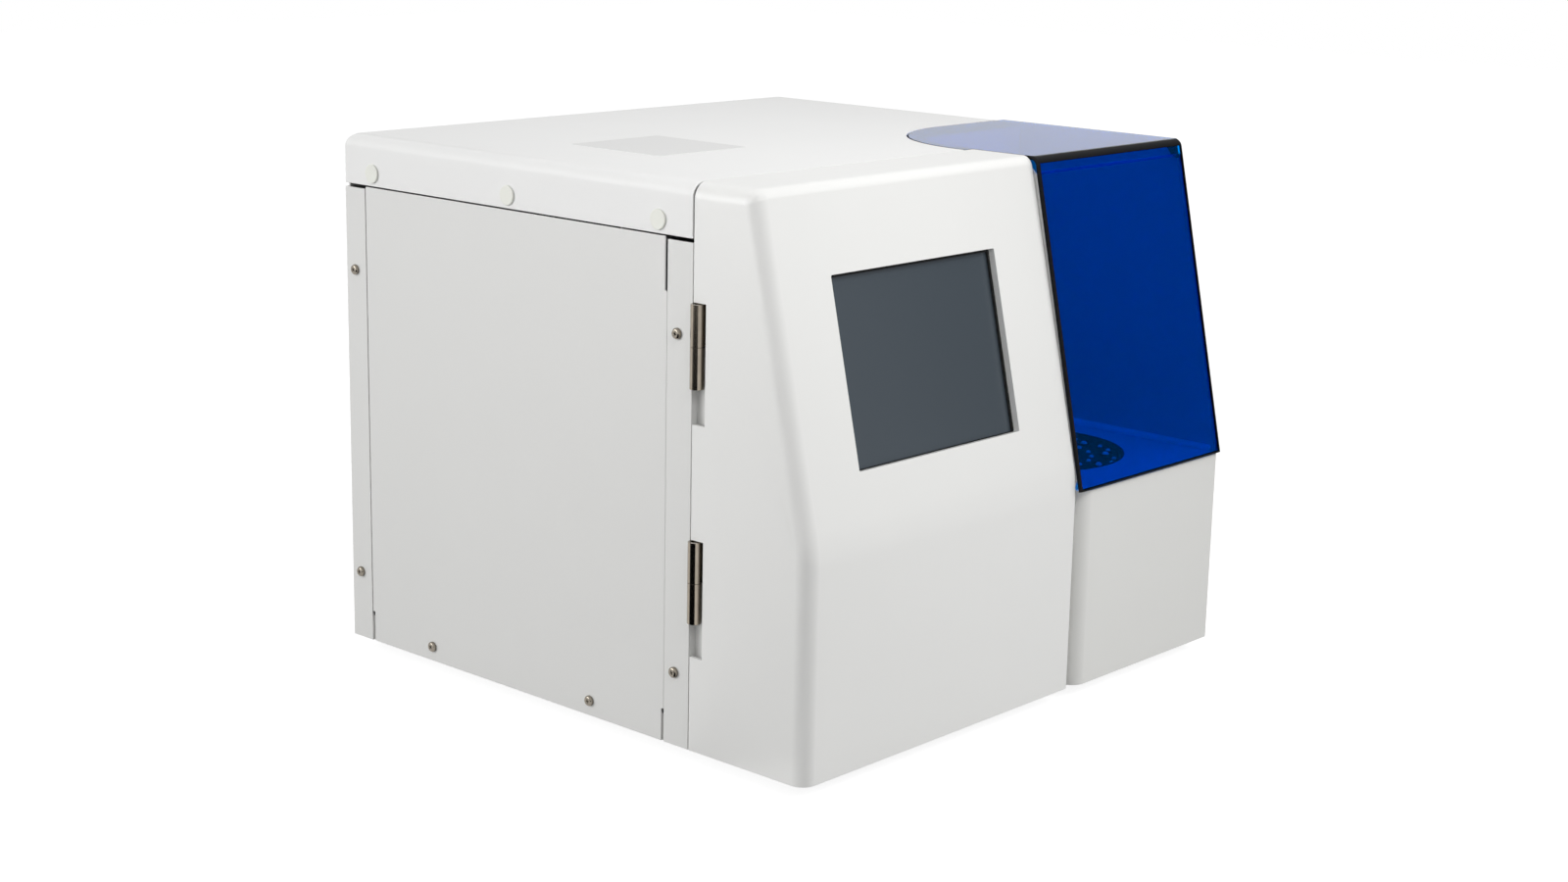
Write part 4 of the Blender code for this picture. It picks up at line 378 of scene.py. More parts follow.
def pick(piece: bpy.types.Object, kind: str, test: Callable[[Vector], bool]) -> int:
    """Select the vertices, edges or faces whose corners all pass a test.

    Args:
        piece: the piece in edit mode.
        kind: VERT, EDGE or FACE.
        test: says of a corner whether it belongs.

    Returns:
        How many were selected.
    """
    bpy.ops.mesh.select_mode(type=kind)
    bpy.ops.mesh.select_all(action="DESELECT")
    mesh = bmesh.from_edit_mesh(piece.data)
    items = {"VERT": mesh.verts, "EDGE": mesh.edges, "FACE": mesh.faces}[kind]
    count = 0
    for item in items:
        corners = [item.co] if kind == "VERT" else [vert.co for vert in item.verts]
        if all(test(corner) for corner in corners):
            item.select_set(True)
            count += 1
    bmesh.update_edit_mesh(piece.data)
    return count


def pick_faces(piece: bpy.types.Object, test: Callable[[Vector, Vector], bool]) -> int:
    """Select the faces whose centre and normal pass a test.

    Args:
        piece: the piece in edit mode.
        test: says of a centre and a normal whether the face belongs.

    Returns:
        How many were selected.
    """
    bpy.ops.mesh.select_mode(type="FACE")
    bpy.ops.mesh.select_all(action="DESELECT")
    mesh = bmesh.from_edit_mesh(piece.data)
    count = 0
    for face in mesh.faces:
        if test(face.calc_center_median(), face.normal):
            face.select_set(True)
            count += 1
    bmesh.update_edit_mesh(piece.data)
    return count


def near(a: float, b: float, within: float = 0.00002) -> bool:
    """Say whether two lengths agree."""
    return abs(a - b) < within


def start_block(name: str, low: Point, high: Point) -> bpy.types.Object:
    """Add a block between two corners, as the start of a piece.

    Args:
        name: the piece's name.
        low: its lowest corner.
        high: its highest corner.

    Returns:
        The block, with its place in its mesh.
    """
    middle = (Vector(low) + Vector(high)) / 2
    bpy.ops.object.select_all(action="DESELECT")
    bpy.ops.mesh.primitive_cube_add(size=1, location=middle, scale=Vector(high) - Vector(low))
    piece = bpy.context.object
    piece.name = name
    bpy.ops.object.transform_apply(location=True, rotation=True, scale=True)
    return piece


def start_round(
    name: str, centre: Point, radius: float, length: float, axis: str = "Z", sides: int = 48
) -> bpy.types.Object:
    """Add a round bar, as the start of a piece.

    Args:
        name: the piece's name.
        centre: its middle.
        radius: its radius.
        length: its length along the axis.
        axis: X, Y or Z.
        sides: how many sides the round has.

    Returns:
        The bar, with its place in its mesh.
    """
    turn = {"X": (0, pi / 2, 0), "Y": (-pi / 2, 0, 0), "Z": (0, 0, 0)}[axis]
    bpy.ops.object.select_all(action="DESELECT")
    bpy.ops.mesh.primitive_cylinder_add(
        vertices=sides, radius=radius, depth=length, location=centre, rotation=turn
    )
    piece = bpy.context.object
    piece.name = name
    bpy.ops.object.transform_apply(location=True, rotation=True, scale=True)
    return piece


def bevel_picked(width: float, segments: int) -> None:
    """Round the picked edges of the piece in edit mode."""
    bpy.ops.mesh.bevel(
        offset=width, offset_type="OFFSET", segments=segments, affect="EDGES", clamp_overlap=True
    )


def apply_modifier(piece: bpy.types.Object, kind: str, **settings: object) -> None:
    """Add a modifier to a piece and apply it.

    Args:
        piece: the piece.
        kind: the modifier's type.
        settings: its values.
    """
    select_only(piece)
    step = piece.modifiers.new(kind.lower(), kind)
    for name, value in settings.items():
        setattr(step, name, value)
    bpy.ops.object.modifier_apply(modifier=step.name)


def carve(piece: bpy.types.Object, tool: bpy.types.Object, operation: str = "DIFFERENCE") -> None:
    """Cut a tool out of a piece, join it on, or keep what both share.

    Args:
        piece: the piece.
        tool: the other mesh, which is used up.
        operation: DIFFERENCE, UNION or INTERSECT.
    """
    apply_modifier(piece, "BOOLEAN", operation=operation, solver="EXACT", object=tool)
    bpy.data.objects.remove(tool)


def ease_edges(piece: bpy.types.Object, width: float, segments: int = 2, angle: float = 35.0) -> None:
    """Break the sharp edges of a piece, so that they catch the light.

    Args:
        piece: the piece.
        width: how wide the broken edge is.
        segments: how many facets it has.
        angle: the least angle that counts as an edge, in degrees.
    """
    apply_modifier(
        piece,
        "BEVEL",
        width=width,
        segments=segments,
        limit_method="ANGLE",
        angle_limit=radians(angle),
        use_clamp_overlap=True,
        miter_outer="MITER_ARC",
    )


def copy_piece(piece: bpy.types.Object, name: str, shift: Point) -> bpy.types.Object:
    """Copy a piece with its own mesh.

    Args:
        piece: the piece to copy.
        name: the copy's name.
        shift: how far the copy is moved.

    Returns:
        The copy.
    """
    select_only(piece)
    bpy.ops.object.duplicate(linked=False)
    copy = bpy.context.object
    copy.name = name
    copy.location = shift
    bpy.ops.object.transform_apply(location=True, rotation=True, scale=True)
    return copy


def turn_about(piece: bpy.types.Object, centre: Point, angle: float) -> None:
    """Turn a piece about an upright axis.

    Args:
        piece: the piece.
        centre: a point on the axis.
        angle: the turn in radians, counter-clockwise from above.
    """
    spin = Matrix.Translation(centre) @ Matrix.Rotation(angle, 4, "Z") @ Matrix.Translation(-Vector(centre))
    select_only(piece)
    piece.matrix_world = spin
    bpy.ops.object.transform_apply(location=True, rotation=True, scale=True)


class Shop:
    """Finishes pieces: smooths, dresses and hangs them on their bodies."""

    def __init__(self, finishes: Finishes) -> None:
        """Keep the finishes at hand."""
        self.finishes = finishes
        self.count = 0

    def hand_over(
        self,
        piece: bpy.types.Object,
        finish: str,
        body: Body,
        replaces: Iterable[str] = (),
        smooth: float = 40.0,
        weighted: bool = True,
    ) -> bpy.types.Object:
        """Finish a piece and hang it on its body.

        Args:
            piece: the piece, in the cabinet's frame.
            finish: its finish.
            body: the body that it rides on.
            replaces: the nodes that it stands for.
            smooth: the angle under which facets are smoothed, in degrees.
            weighted: whether large faces keep their flat look.

        Returns:
            The same piece.
        """
        piece.location = DATUM
        select_only(piece)
        bpy.ops.object.transform_apply(location=True, rotation=True, scale=True)
        bpy.ops.object.shade_smooth_by_angle(angle=radians(smooth))
        if weighted:
            apply_modifier(piece, "WEIGHTED_NORMAL", keep_sharp=True, weight=60)
        self.finishes.give(piece, finish)
        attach(piece, body.value)
        if replaces:
            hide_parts(*replaces)
        self.count += 1
        LOG.info("%s: %d faces, %s, on %s", piece.name, len(piece.data.polygons), finish, body.value)
        return piece


@dataclass
class Slope:
    """The tilted upper front: where it starts and how far it leans back."""

    start: float = 0.1643
    top: float = 0.400
    depth: float = 0.0544

    @property
    def lean(self) -> float:
        """Return the depth gained for each length of height."""
        return self.depth / (self.top - self.start)

    def line(self, height: float) -> float:
        """Return the depth of the front face at a height."""
        return max(height - self.start, 0.0) * self.lean


@dataclass
class DoorShell:
    """The moulded front door, with its window and the notches for its hinges."""

    slope: Slope = field(default_factory=Slope)
    width: float = 0.2988
    depth: float = 0.1085
    wall: float = 0.003
    radius: float = 0.0115
    crest_share: float = 0.62
    bend_setback: float = 0.012
    inner_return: float = 0.015
    window: tuple[float, float, float, float] = (0.0616, 0.2399, 0.2087, 0.3392)
    window_radius: float = 0.0012
    collar_depth: float = 0.006
    collar_wall: float = 0.003
    notch_front: float = 0.0968
    notches: tuple[tuple[float, float], ...] = ((0.2344, 0.3189), (0.0687, 0.1532))

    def body(self) -> bpy.types.Object:
        """Shape the shell as one sheet and give it its wall.

        Returns:
            The shell.
        """
        slope = self.slope
        shell = start_block("door_shell", (0, 0, 0), (self.width, self.depth, slope.top))
        with editing(shell):
            bpy.ops.mesh.select_all(action="SELECT")
            bpy.ops.mesh.bisect(plane_co=(0, 0, slope.start), plane_no=(0, 0, 1))
            pick(shell, "VERT", lambda co: near(co.y, 0) and near(co.z, slope.top))
            bpy.ops.transform.translate(value=(0, slope.depth, 0))
            pick(shell, "EDGE", lambda co: near(co.y, 0) and near(co.z, slope.start))
            bevel_picked(self.bend_setback, 10)
            pick_faces(shell, lambda co, normal: normal.y > FACING_SHARE or normal.z < -FACING_SHARE)
            bpy.ops.mesh.delete(type="FACE")
            self.weigh_edges(shell)
        apply_modifier(
            shell, "BEVEL", width=self.radius, segments=10, limit_method="WEIGHT", use_clamp_overlap=False
        )
        with editing(shell):
            self.trim_right(shell)
        apply_modifier(
            shell, "SOLIDIFY", thickness=self.wall, offset=-1.0, use_even_offset=True, use_rim=True
        )
        return shell

    def weigh_edges(self, shell: bpy.types.Object) -> None:
        """Weigh the left edges and the crest of the open shell for its rounding.

        Args:
            shell: the shell in edit mode.
        """
        top, depth = self.slope.top, self.slope.depth
        pick(shell, "EDGE", lambda co: near(co.z, top) and near(co.y, depth))
        bpy.ops.transform.edge_bevelweight(value=self.crest_share)
        bpy.ops.mesh.select_all(action="DESELECT")
        mesh = bmesh.from_edit_mesh(shell.data)
        for edge in mesh.edges:
            left = all(near(vert.co.x, 0) for vert in edge.verts)
            sharp = len(edge.link_faces) == 2 and edge.calc_face_angle(0.0) > radians(20)
            edge.select_set(left and sharp)
        bmesh.update_edit_mesh(shell.data)
        bpy.ops.transform.edge_bevelweight(value=1.0)

    def trim_right(self, shell: bpy.types.Object) -> None:
        """Cut the right side back to a narrow return.

        Args:
            shell: the shell in edit mode.
        """
        slope = self.slope
        planes = (
            ((0, self.inner_return, 0), (0, 1, 0)),
            ((0, self.inner_return, slope.start), (0, 1, -slope.lean)),
        )
        for point, normal in planes:
            pick_faces(shell, lambda co, facing: facing.x > FACING_SHARE)
            bpy.ops.mesh.bisect(plane_co=point, plane_no=normal)
        pick_faces(
            shell,
            lambda co, facing: facing.x > FACING_SHARE and co.y > slope.line(co.z) + self.inner_return,
        )
        bpy.ops.mesh.delete(type="FACE")

    def window_tool(self, margin: float, start: float, end: float, radius: float) -> bpy.types.Object:
        """Make a slanted block round the window.

        Args:
            margin: how far it stands beyond the window on each side.
            start: its front, measured inwards from the face.
            end: its back, measured the same way.
            radius: the rounding of its corners.

        Returns:
            The block.
        """
        left, right, bottom, top = self.window
        height = (bottom + top) / 2
        half = (
            (right - left) / 2 + margin,
            (top - bottom) / 2 * hypot(1, self.slope.lean) + margin,
        )
        tool = start_block("window_tool", (-half[0], start, -half[1]), (half[0], end, half[1]))
        if radius:
            with editing(tool):
                pick(tool, "EDGE", lambda co: True)
                mesh = bmesh.from_edit_mesh(tool.data)
                for edge in mesh.edges:
                    along = edge.verts[0].co - edge.verts[1].co
                    edge.select_set(abs(along.y) > (end - start) / 2)
                bmesh.update_edit_mesh(tool.data)
                bevel_picked(radius, 4)
        tool.rotation_euler = (-atan(self.slope.lean), 0, 0)
        tool.location = ((left + right) / 2, self.slope.line(height), height)
        select_only(tool)
        bpy.ops.object.transform_apply(location=True, rotation=True, scale=True)
        return tool

    def build(self, shop: Shop) -> None:
        """Build the shell and its window's collar.

        Args:
            shop: finishes the pieces.
        """
        shell = self.body()
        carve(shell, self.window_tool(self.collar_wall, self.wall / 2, self.collar_depth, 0), "UNION")
        carve(shell, self.window_tool(0, -OVERRUN, self.collar_depth + OVERRUN, self.window_radius))
        for low, high in self.notches:
            tool = start_block(
                "notch_tool",
                (-OVERRUN, self.notch_front, low),
                (self.wall + GAP / 2, self.depth + OVERRUN, high),
            )
            carve(shell, tool)
        ease_edges(shell, EASE_SHEET)
        shop.hand_over(shell, "sprayed_moulded_shell", Body.DOOR, ("front_door_shell",))


@dataclass
class Display:
    """The touch panel, a black ring round it that paints the shade in the gap at the glass's edge, and the
    housing behind it.
    """

    shell: DoorShell = field(default_factory=DoorShell)
    glass_margin: float = 0.006
    glass_thickness: float = 0.003
    shade_ring_width: float = 0.0013
    shade_ring_shift: Point = (-0.0009, 0.0, -0.0005)
    shade_ring_thickness: float = 0.0012

    def build(self, shop: Shop) -> None:
        """Build the glass and the black ring of painted shade round it.

        Args:
            shop: finishes the pieces.
        """
        start = self.shell.collar_depth + GAP
        glass = self.shell.window_tool(self.glass_margin, start, start + self.glass_thickness, 0.002)
        glass.name = "touch_panel"
        ease_edges(glass, EASE_FINE)
        shop.hand_over(glass, "etched_touch_panel", Body.DOOR, ("display_glass",))
        # A near-black ring at the collar's end, shifted so that it shows at the right and the top: painted
        # shade for the shadowed gap between collar and glass.
        back = start - GAP / 2
        front = back - self.shade_ring_thickness
        shade_ring = self.shell.window_tool(-GAP, front, back, 0.001)
        shade_ring.name = "display_shade_ring"
        inside = self.shell.window_tool(-self.shade_ring_width, front - OVERRUN, back + OVERRUN, 0.001)
        inside.location = self.shade_ring_shift
        carve(shade_ring, inside)
        shop.hand_over(shade_ring, "near_black_painted_shade", Body.DOOR)


@dataclass
class LowerCover:
    """The fixed moulded cover under the sample bay."""

    left: float = 0.3050
    right: float = 0.4893
    height: float = 0.1530
    proud: float = 0.0022
    reach: float = 0.028
    wall: float = 0.003
    left_radius: float = 0.013
    right_radius: float = 0.003

    def build(self, shop: Shop) -> None:
        """Build the cover.

        Args:
            shop: finishes the piece.
        """
        cover = start_block("lower_cover", (self.left, -self.proud, 0), (self.right, self.reach, self.height))
        with editing(cover):
            pick_faces(cover, lambda co, normal: normal.y > FACING_SHARE or normal.z < -FACING_SHARE)
            bpy.ops.mesh.delete(type="FACE")
            for x, radius in ((self.left, self.left_radius), (self.right, self.right_radius)):
                pick(cover, "EDGE", lambda co: near(co.x, x) and near(co.y, -self.proud))
                bevel_picked(radius, 10)
        apply_modifier(
            cover, "SOLIDIFY", thickness=self.wall, offset=-1.0, use_even_offset=True, use_rim=True
        )
        ease_edges(cover, EASE_SHEET)
        # The cover takes the door's paint made greyer: painted shade.
        shop.hand_over(cover, "cover_paint_painted_shade", Body.CABINET, ("lower_right_cover",))


@dataclass
class LidPlan:
    """The lid's outline from above: one large round corner and a step."""

    left: float = 0.3000
    rear_left: float = 0.2920
    rear: float = 0.2250
    right: float = 0.4885
    radius: float = 0.112
    step: float = 0.1099

    def tool(self, offset: float, low: float, high: float, front: float, right: float) -> bpy.types.Object:
        """Make an upright block of the outline, grown by an offset.

        Args:
            offset: how far it grows.
            low: its underside.
            high: its top.
            front: its front end.
            right: its right end.

        Returns:
            The block.
        """
        left = self.rear_left - offset
        rear = self.rear + offset
        tool = start_block("plan_tool", (left, front, low), (right, rear, high))
        with editing(tool):
            pick(tool, "EDGE", lambda co: near(co.x, left) and near(co.y, rear))
            bevel_picked(self.radius + offset, 40)
        if front < self.step - max(offset, 0):
            near_left = self.left - min(offset, 0)
            step = start_block(
                "step_tool",
                (left - OVERRUN, front - OVERRUN, low - OVERRUN),
                (near_left, self.step - max(offset, 0), high + OVERRUN),
            )
            carve(tool, step)
        return tool


@dataclass
class TopCover:
    """The sheet cover with its skirt, open over the sample bay."""

    plan: LidPlan = field(default_factory=LidPlan)
    width: float = 0.4893
    front: float = 0.1102
    rear: float = 0.4816
    skirt: float = 0.3618
    top: float = 0.400
    sheet: float = 0.0015
    radius: float = 0.010
    lid_gap: float = 0.0015
    plate: tuple[float, float, float, float] = (0.0825, 0.173, 0.224, 0.318)
    plate_thickness: float = 0.0002

    def build(self, shop: Shop) -> None:
        """Build the cover and the blank plate on it.

        Args:
            shop: finishes the pieces.
        """
        cover = start_block("top_sheet", (0, self.front, self.skirt), (self.width, self.rear, self.top))
        with editing(cover):
            pick_faces(cover, lambda co, normal: normal.y < -FACING_SHARE or normal.z < -FACING_SHARE)
            bpy.ops.mesh.delete(type="FACE")
            bpy.ops.mesh.select_mode(type="EDGE")
            bpy.ops.mesh.select_all(action="DESELECT")
            mesh = bmesh.from_edit_mesh(cover.data)
            for edge in mesh.edges:
                level = all(near(vert.co.z, self.top) for vert in edge.verts)
                edge.select_set(level and len(edge.link_faces) == 2)
            bmesh.update_edit_mesh(cover.data)
            bevel_picked(self.radius, 10)
        apply_modifier(
            cover, "SOLIDIFY", thickness=self.sheet, offset=-1.0, use_even_offset=True, use_rim=True
        )
        hole = self.plan.tool(
            self.lid_gap,
            self.skirt - OVERRUN,
            self.top + OVERRUN,
            self.front - OVERRUN,
            self.width + OVERRUN,
        )
        carve(cover, hole)
        ease_edges(cover, EASE_ROLLED)
        shop.hand_over(cover, "white_powder_coated_steel", Body.CABINET, ("top_cover",))
        self.build_plate(shop)

    def build_plate(self, shop: Shop) -> None:
        """Build the blank plate stuck on the cover.

        Args:
            shop: finishes the piece.
        """
        left, right, front, rear = self.plate
        plate = start_block(
            "blank_plate", (left, front, self.top), (right, rear, self.top + self.plate_thickness)
        )
        with editing(plate):
            mesh = bmesh.from_edit_mesh(plate.data)
            bpy.ops.mesh.select_mode(type="EDGE")
            bpy.ops.mesh.select_all(action="DESELECT")
            for edge in mesh.edges:
                along = edge.verts[0].co - edge.verts[1].co
                edge.select_set(abs(along.z) > self.plate_thickness / 2)
            bmesh.update_edit_mesh(plate.data)
            bevel_picked(0.0015, 5)
        shop.hand_over(plate, "blank_polyester_plate", Body.CABINET)


@dataclass
class SampleLid:
    """The bent acrylic lid over the sample bay."""

    plan: LidPlan = field(default_factory=LidPlan)
    top: float = 0.400
    top_depth: float = 0.0488
    foot_proud: float = 0.0051
    foot: float = 0.1547
    thickness: float = 0.003
    bend_radius: float = 0.007
    side_band: float = 0.0017
    foot_band: float = 0.0012
    gusset: float = 0.0120
    gusset_width: float = 0.0014
    gusset_taper_share: float = 0.8
    strip_drop: float = 0.0140
    strip_height: float = 0.0022
    strip_setback: float = 0.0006
    strip_depth: float = 0.0020

    def build(self, shop: Shop) -> None:
        """Build the lid.

        Args:
            shop: finishes the piece.
        """
        fall = self.top - self.foot
        bend = pi / 2 - atan((self.top_depth + self.foot_proud) / fall)
        lid = start_block(
            "acrylic_lid",
            (self.plan.rear_left - OVERRUN, self.top_depth, self.top - self.thickness),
            (self.plan.right + OVERRUN, self.plan.rear + OVERRUN, self.top),
        )
        with editing(lid):
            pick_faces(lid, lambda co, normal: normal.z < FACING_SHARE)
            bpy.ops.mesh.delete(type="FACE")
            pick(lid, "EDGE", lambda co: near(co.y, self.top_depth))
            bpy.ops.mesh.extrude_region_move(
                TRANSFORM_OT_translate={"value": (0, -self.top_depth - self.foot_proud, -fall)}
            )
            pick(lid, "EDGE", lambda co: near(co.y, self.top_depth) and near(co.z, self.top))
            bevel_picked(self.bend_radius * tan(bend / 2), 14)
        apply_modifier(
            lid, "SOLIDIFY", thickness=self.thickness, offset=-1.0, use_even_offset=True, use_rim=True
        )
        outline = self.plan.tool(
            0,
            self.foot - OVERRUN,
            self.top + OVERRUN,
            -self.foot_proud - OVERRUN,
            self.plan.right,
        )
        carve(lid, outline, "INTERSECT")
        ease_edges(lid, EASE_FINE)
        # Narrow bands along the sides and the foot are cut off, to take the painted shade of the edges.
        cuts = (
            ((self.plan.left + self.side_band, 0, 0), (1, 0, 0)),
            ((self.plan.right - self.side_band, 0, 0), (1, 0, 0)),
            ((0, 0, self.foot + self.foot_band), (0, 0, 1)),
        )
        with editing(lid):
            for place, normal in cuts:
                bpy.ops.mesh.select_all(action="SELECT")
                bpy.ops.mesh.bisect(plane_co=place, plane_no=normal)
        shop.hand_over(lid, "tinted_acrylic_sheet", Body.LID, ("sample_lid",))
        self.darken_edges(lid, shop.finishes.made["acrylic_edge_painted_shade"])
        self.build_stiffener(shop)
        right = self.plan.right - self.thickness - self.gusset_width
        self.build_gusset(shop, "lid_gusset_right", right)

    def build_gusset(self, shop: Shop, name: str, left: float) -> None:
        """Build one small gusset bonded into an end of the fold.

        Args:
            shop: finishes the piece.
            name: the piece's name.
            left: its left face.
        """
        high = self.top - self.thickness
        low = high - self.gusset
        lean = (self.top_depth + self.foot_proud) / (self.top - self.foot)
        front = self.top_depth + self.thickness
        gusset = start_block(name, (left, front, low), (left + self.gusset_width, front + self.gusset, high))
        with editing(gusset):
            pick(gusset, "VERT", lambda co: near(co.y, front) and near(co.z, low))
            bpy.ops.transform.translate(value=(0, -self.gusset * lean, 0))
            pick(gusset, "VERT", lambda co: near(co.y, front + self.gusset) and near(co.z, low))
            bpy.ops.transform.translate(value=(0, -self.gusset * self.gusset_taper_share, 0))
        ease_edges(gusset, 0.0002)
        # The gusset takes the edges' near-black painted shade.
        shop.hand_over(gusset, "acrylic_edge_painted_shade", Body.LID)

    def build_stiffener(self, shop: Shop) -> None:
        """Build the narrow strip bonded inside the front plate, just under the fold.

        Args:
            shop: finishes the piece.
        """
        left, right = self.plan.left + self.thickness, self.plan.right - self.thickness
        low = self.top - self.strip_drop
        back = self.top_depth + self.strip_setback
        strip = start_block(
            "lid_stiffener",
            (left, back, low),
            (right, back + self.strip_depth, low + self.strip_height),
        )
        ease_edges(strip, EASE_FINE)
        shop.hand_over(strip, "tinted_acrylic_sheet", Body.LID)

    def darken_edges(self, lid: bpy.types.Object, material: bpy.types.Material) -> None:
        """Colour the sawn edges and the fold near black: painted shade for the dark look that light trapped
        in the sheet gives them.

        Args:
            lid: the finished lid, in the frame's place.
            material: the near-black painted-shade finish of the edges.
        """
        lid.data.materials.append(material)
        for face in lid.data.polygons:
            place = face.center - DATUM
            facing = face.normal
            side = not self.plan.left + self.side_band < place.x < self.plan.right - self.side_band
            foot = place.z < self.foot + self.foot_band
            fold = 0.35 < abs(facing.z) < 0.95 and place.z > self.top - 2 * self.bend_radius
            if place.y < self.plan.step and (side or foot or fold):
                face.material_index = 1


@dataclass
class SidePanel:
    """The flat left panel between the posts, slit at its corners where it was folded."""

    front: float = 0.1336
    rear: float = 0.4577
    top: float = 0.3607
    sheet: float = 0.0015
    slit: float = 0.0022
    top_slit: float = 0.0375
    foot_slit: float = 0.024

    def build(self, shop: Shop) -> None:
        """Build the panel.

        Args:
            shop: finishes the piece.
        """
        panel = start_block("side_sheet", (0, self.front, 0), (self.sheet, self.rear, self.top))
        slits = (
            (self.front - OVERRUN, self.front + self.slit, self.top - self.top_slit, self.top + OVERRUN),
            (self.front - OVERRUN, self.front + self.slit, -OVERRUN, self.foot_slit),
            (self.rear - self.slit, self.rear + OVERRUN, -OVERRUN, self.foot_slit),
        )
        for low_y, high_y, low_z, high_z in slits:
            tool = start_block("slit_tool", (-OVERRUN, low_y, low_z), (self.sheet + OVERRUN, high_y, high_z))
            carve(panel, tool)
        ease_edges(panel, EASE_SHEET, 3)
        shop.hand_over(panel, "powder_coated_steel", Body.CABINET, ("left_side_panel",))


@dataclass
class BayWallShade:
    """A grey sheet on the right wall of the sample bay, cut back along the lid: painted shade that deepens
    the blue seen through the lid.
    """

    left: float = 0.4864
    right: float = 0.4876
    deck: float = 0.1550
    top: float = 0.3900
    front: float = 0.0010
    rear: float = 0.2050
    lean: float = 0.0520

    def build(self, shop: Shop) -> None:
        """Build the grey sheet.

        Args:
            shop: finishes the piece.
        """
        wall_shade = start_block(
            "bay_wall_shade", (self.left, self.front, self.deck), (self.right, self.rear, self.top)
        )
        with editing(wall_shade):
            pick(wall_shade, "VERT", lambda co: near(co.y, self.front) and near(co.z, self.top))
            bpy.ops.transform.translate(value=(0, self.lean, 0))
        ease_edges(wall_shade, EASE_FINE)
        shop.hand_over(wall_shade, "grey_painted_shade_coat", Body.CABINET)


@dataclass
class DeckHoleShade:
    """A black ring lining the round hole of the sample deck: painted shade for the dark gap round the
    carousel.
    """

    centre: tuple[float, float] = (0.3830, 0.1070)
    outer: float = 0.0749
    inner: float = 0.0722
    low: float = 0.1506
    high: float = 0.1550

    def build(self, shop: Shop) -> None:
        """Build the ring.

        Args:
            shop: finishes the piece.
        """
        middle = (*self.centre, (self.low + self.high) / 2)
        hole_shade = start_round("deck_hole_shade", middle, self.outer, self.high - self.low, "Z", 128)
        bore = start_round("bore_tool", middle, self.inner, self.high - self.low + OVERRUN, "Z", 128)
        carve(hole_shade, bore)
        ease_edges(hole_shade, EASE_FINE)
        shop.hand_over(hole_shade, "near_black_painted_shade", Body.CABINET)


@dataclass
class DeckCove:
    """The narrow bead where the sample deck meets the right wall."""

    right: float = 0.4863
    width: float = 0.0042
    deck: float = 0.1549
    front: float = 0.0045
    rear: float = 0.2050

    def build(self, shop: Shop) -> None:
        """Build the bead.

        Args:
            shop: finishes the piece.
        """
        left = self.right - self.width
        top = self.deck + self.width
        bead = start_block("deck_cove", (left, self.front, self.deck), (self.right, self.rear, top))
        with editing(bead):
            pick(bead, "EDGE", lambda co: near(co.x, left) and near(co.z, top))
            bevel_picked(self.width * 0.8, 4)
        shop.hand_over(bead, "white_powder_coated_steel", Body.CABINET)


@dataclass
class PlugCaps:
    """The three plug caps of the top cover's left skirt."""

    radius: float = 0.0072
    thickness: float = 0.0012
    height: float = 0.3714
    depths: tuple[tuple[str, float], ...] = (("front", 0.1424), ("middle", 0.2956), ("rear", 0.4488))

    def build(self, shop: Shop) -> None:
        """Build the caps.

        Args:
            shop: finishes the pieces.
        """
        first = self.depths[0]
        centre = (-GAP - self.thickness / 2, first[1], self.height)
        cap = start_round("cap", centre, self.radius, self.thickness, "X", 64)
        with editing(cap):
            pick_faces(cap, lambda co, normal: normal.x < -FACING_SHARE)
            bpy.ops.mesh.inset(thickness=self.radius * 0.12, depth=0)
            bpy.ops.mesh.inset(thickness=self.radius * 0.5, depth=-self.thickness * 0.12)
            pick(cap, "EDGE", lambda co: near(co.x, -GAP - self.thickness) and near(
                hypot(co.y - first[1], co.z - self.height), self.radius, 0.0001))
            bevel_picked(self.thickness * 0.55, 4)
        for name, depth in self.depths[1:]:
            copy = copy_piece(cap, f"plug_cap_{name}", (0, depth - first[1], 0))
            shop.hand_over(copy, "moulded_nylon", Body.CABINET, (f"side_cap_{name}",))
        cap.name = f"plug_cap_{first[0]}"
        shop.hand_over(cap, "moulded_nylon", Body.CABINET, (f"side_cap_{first[0]}",))


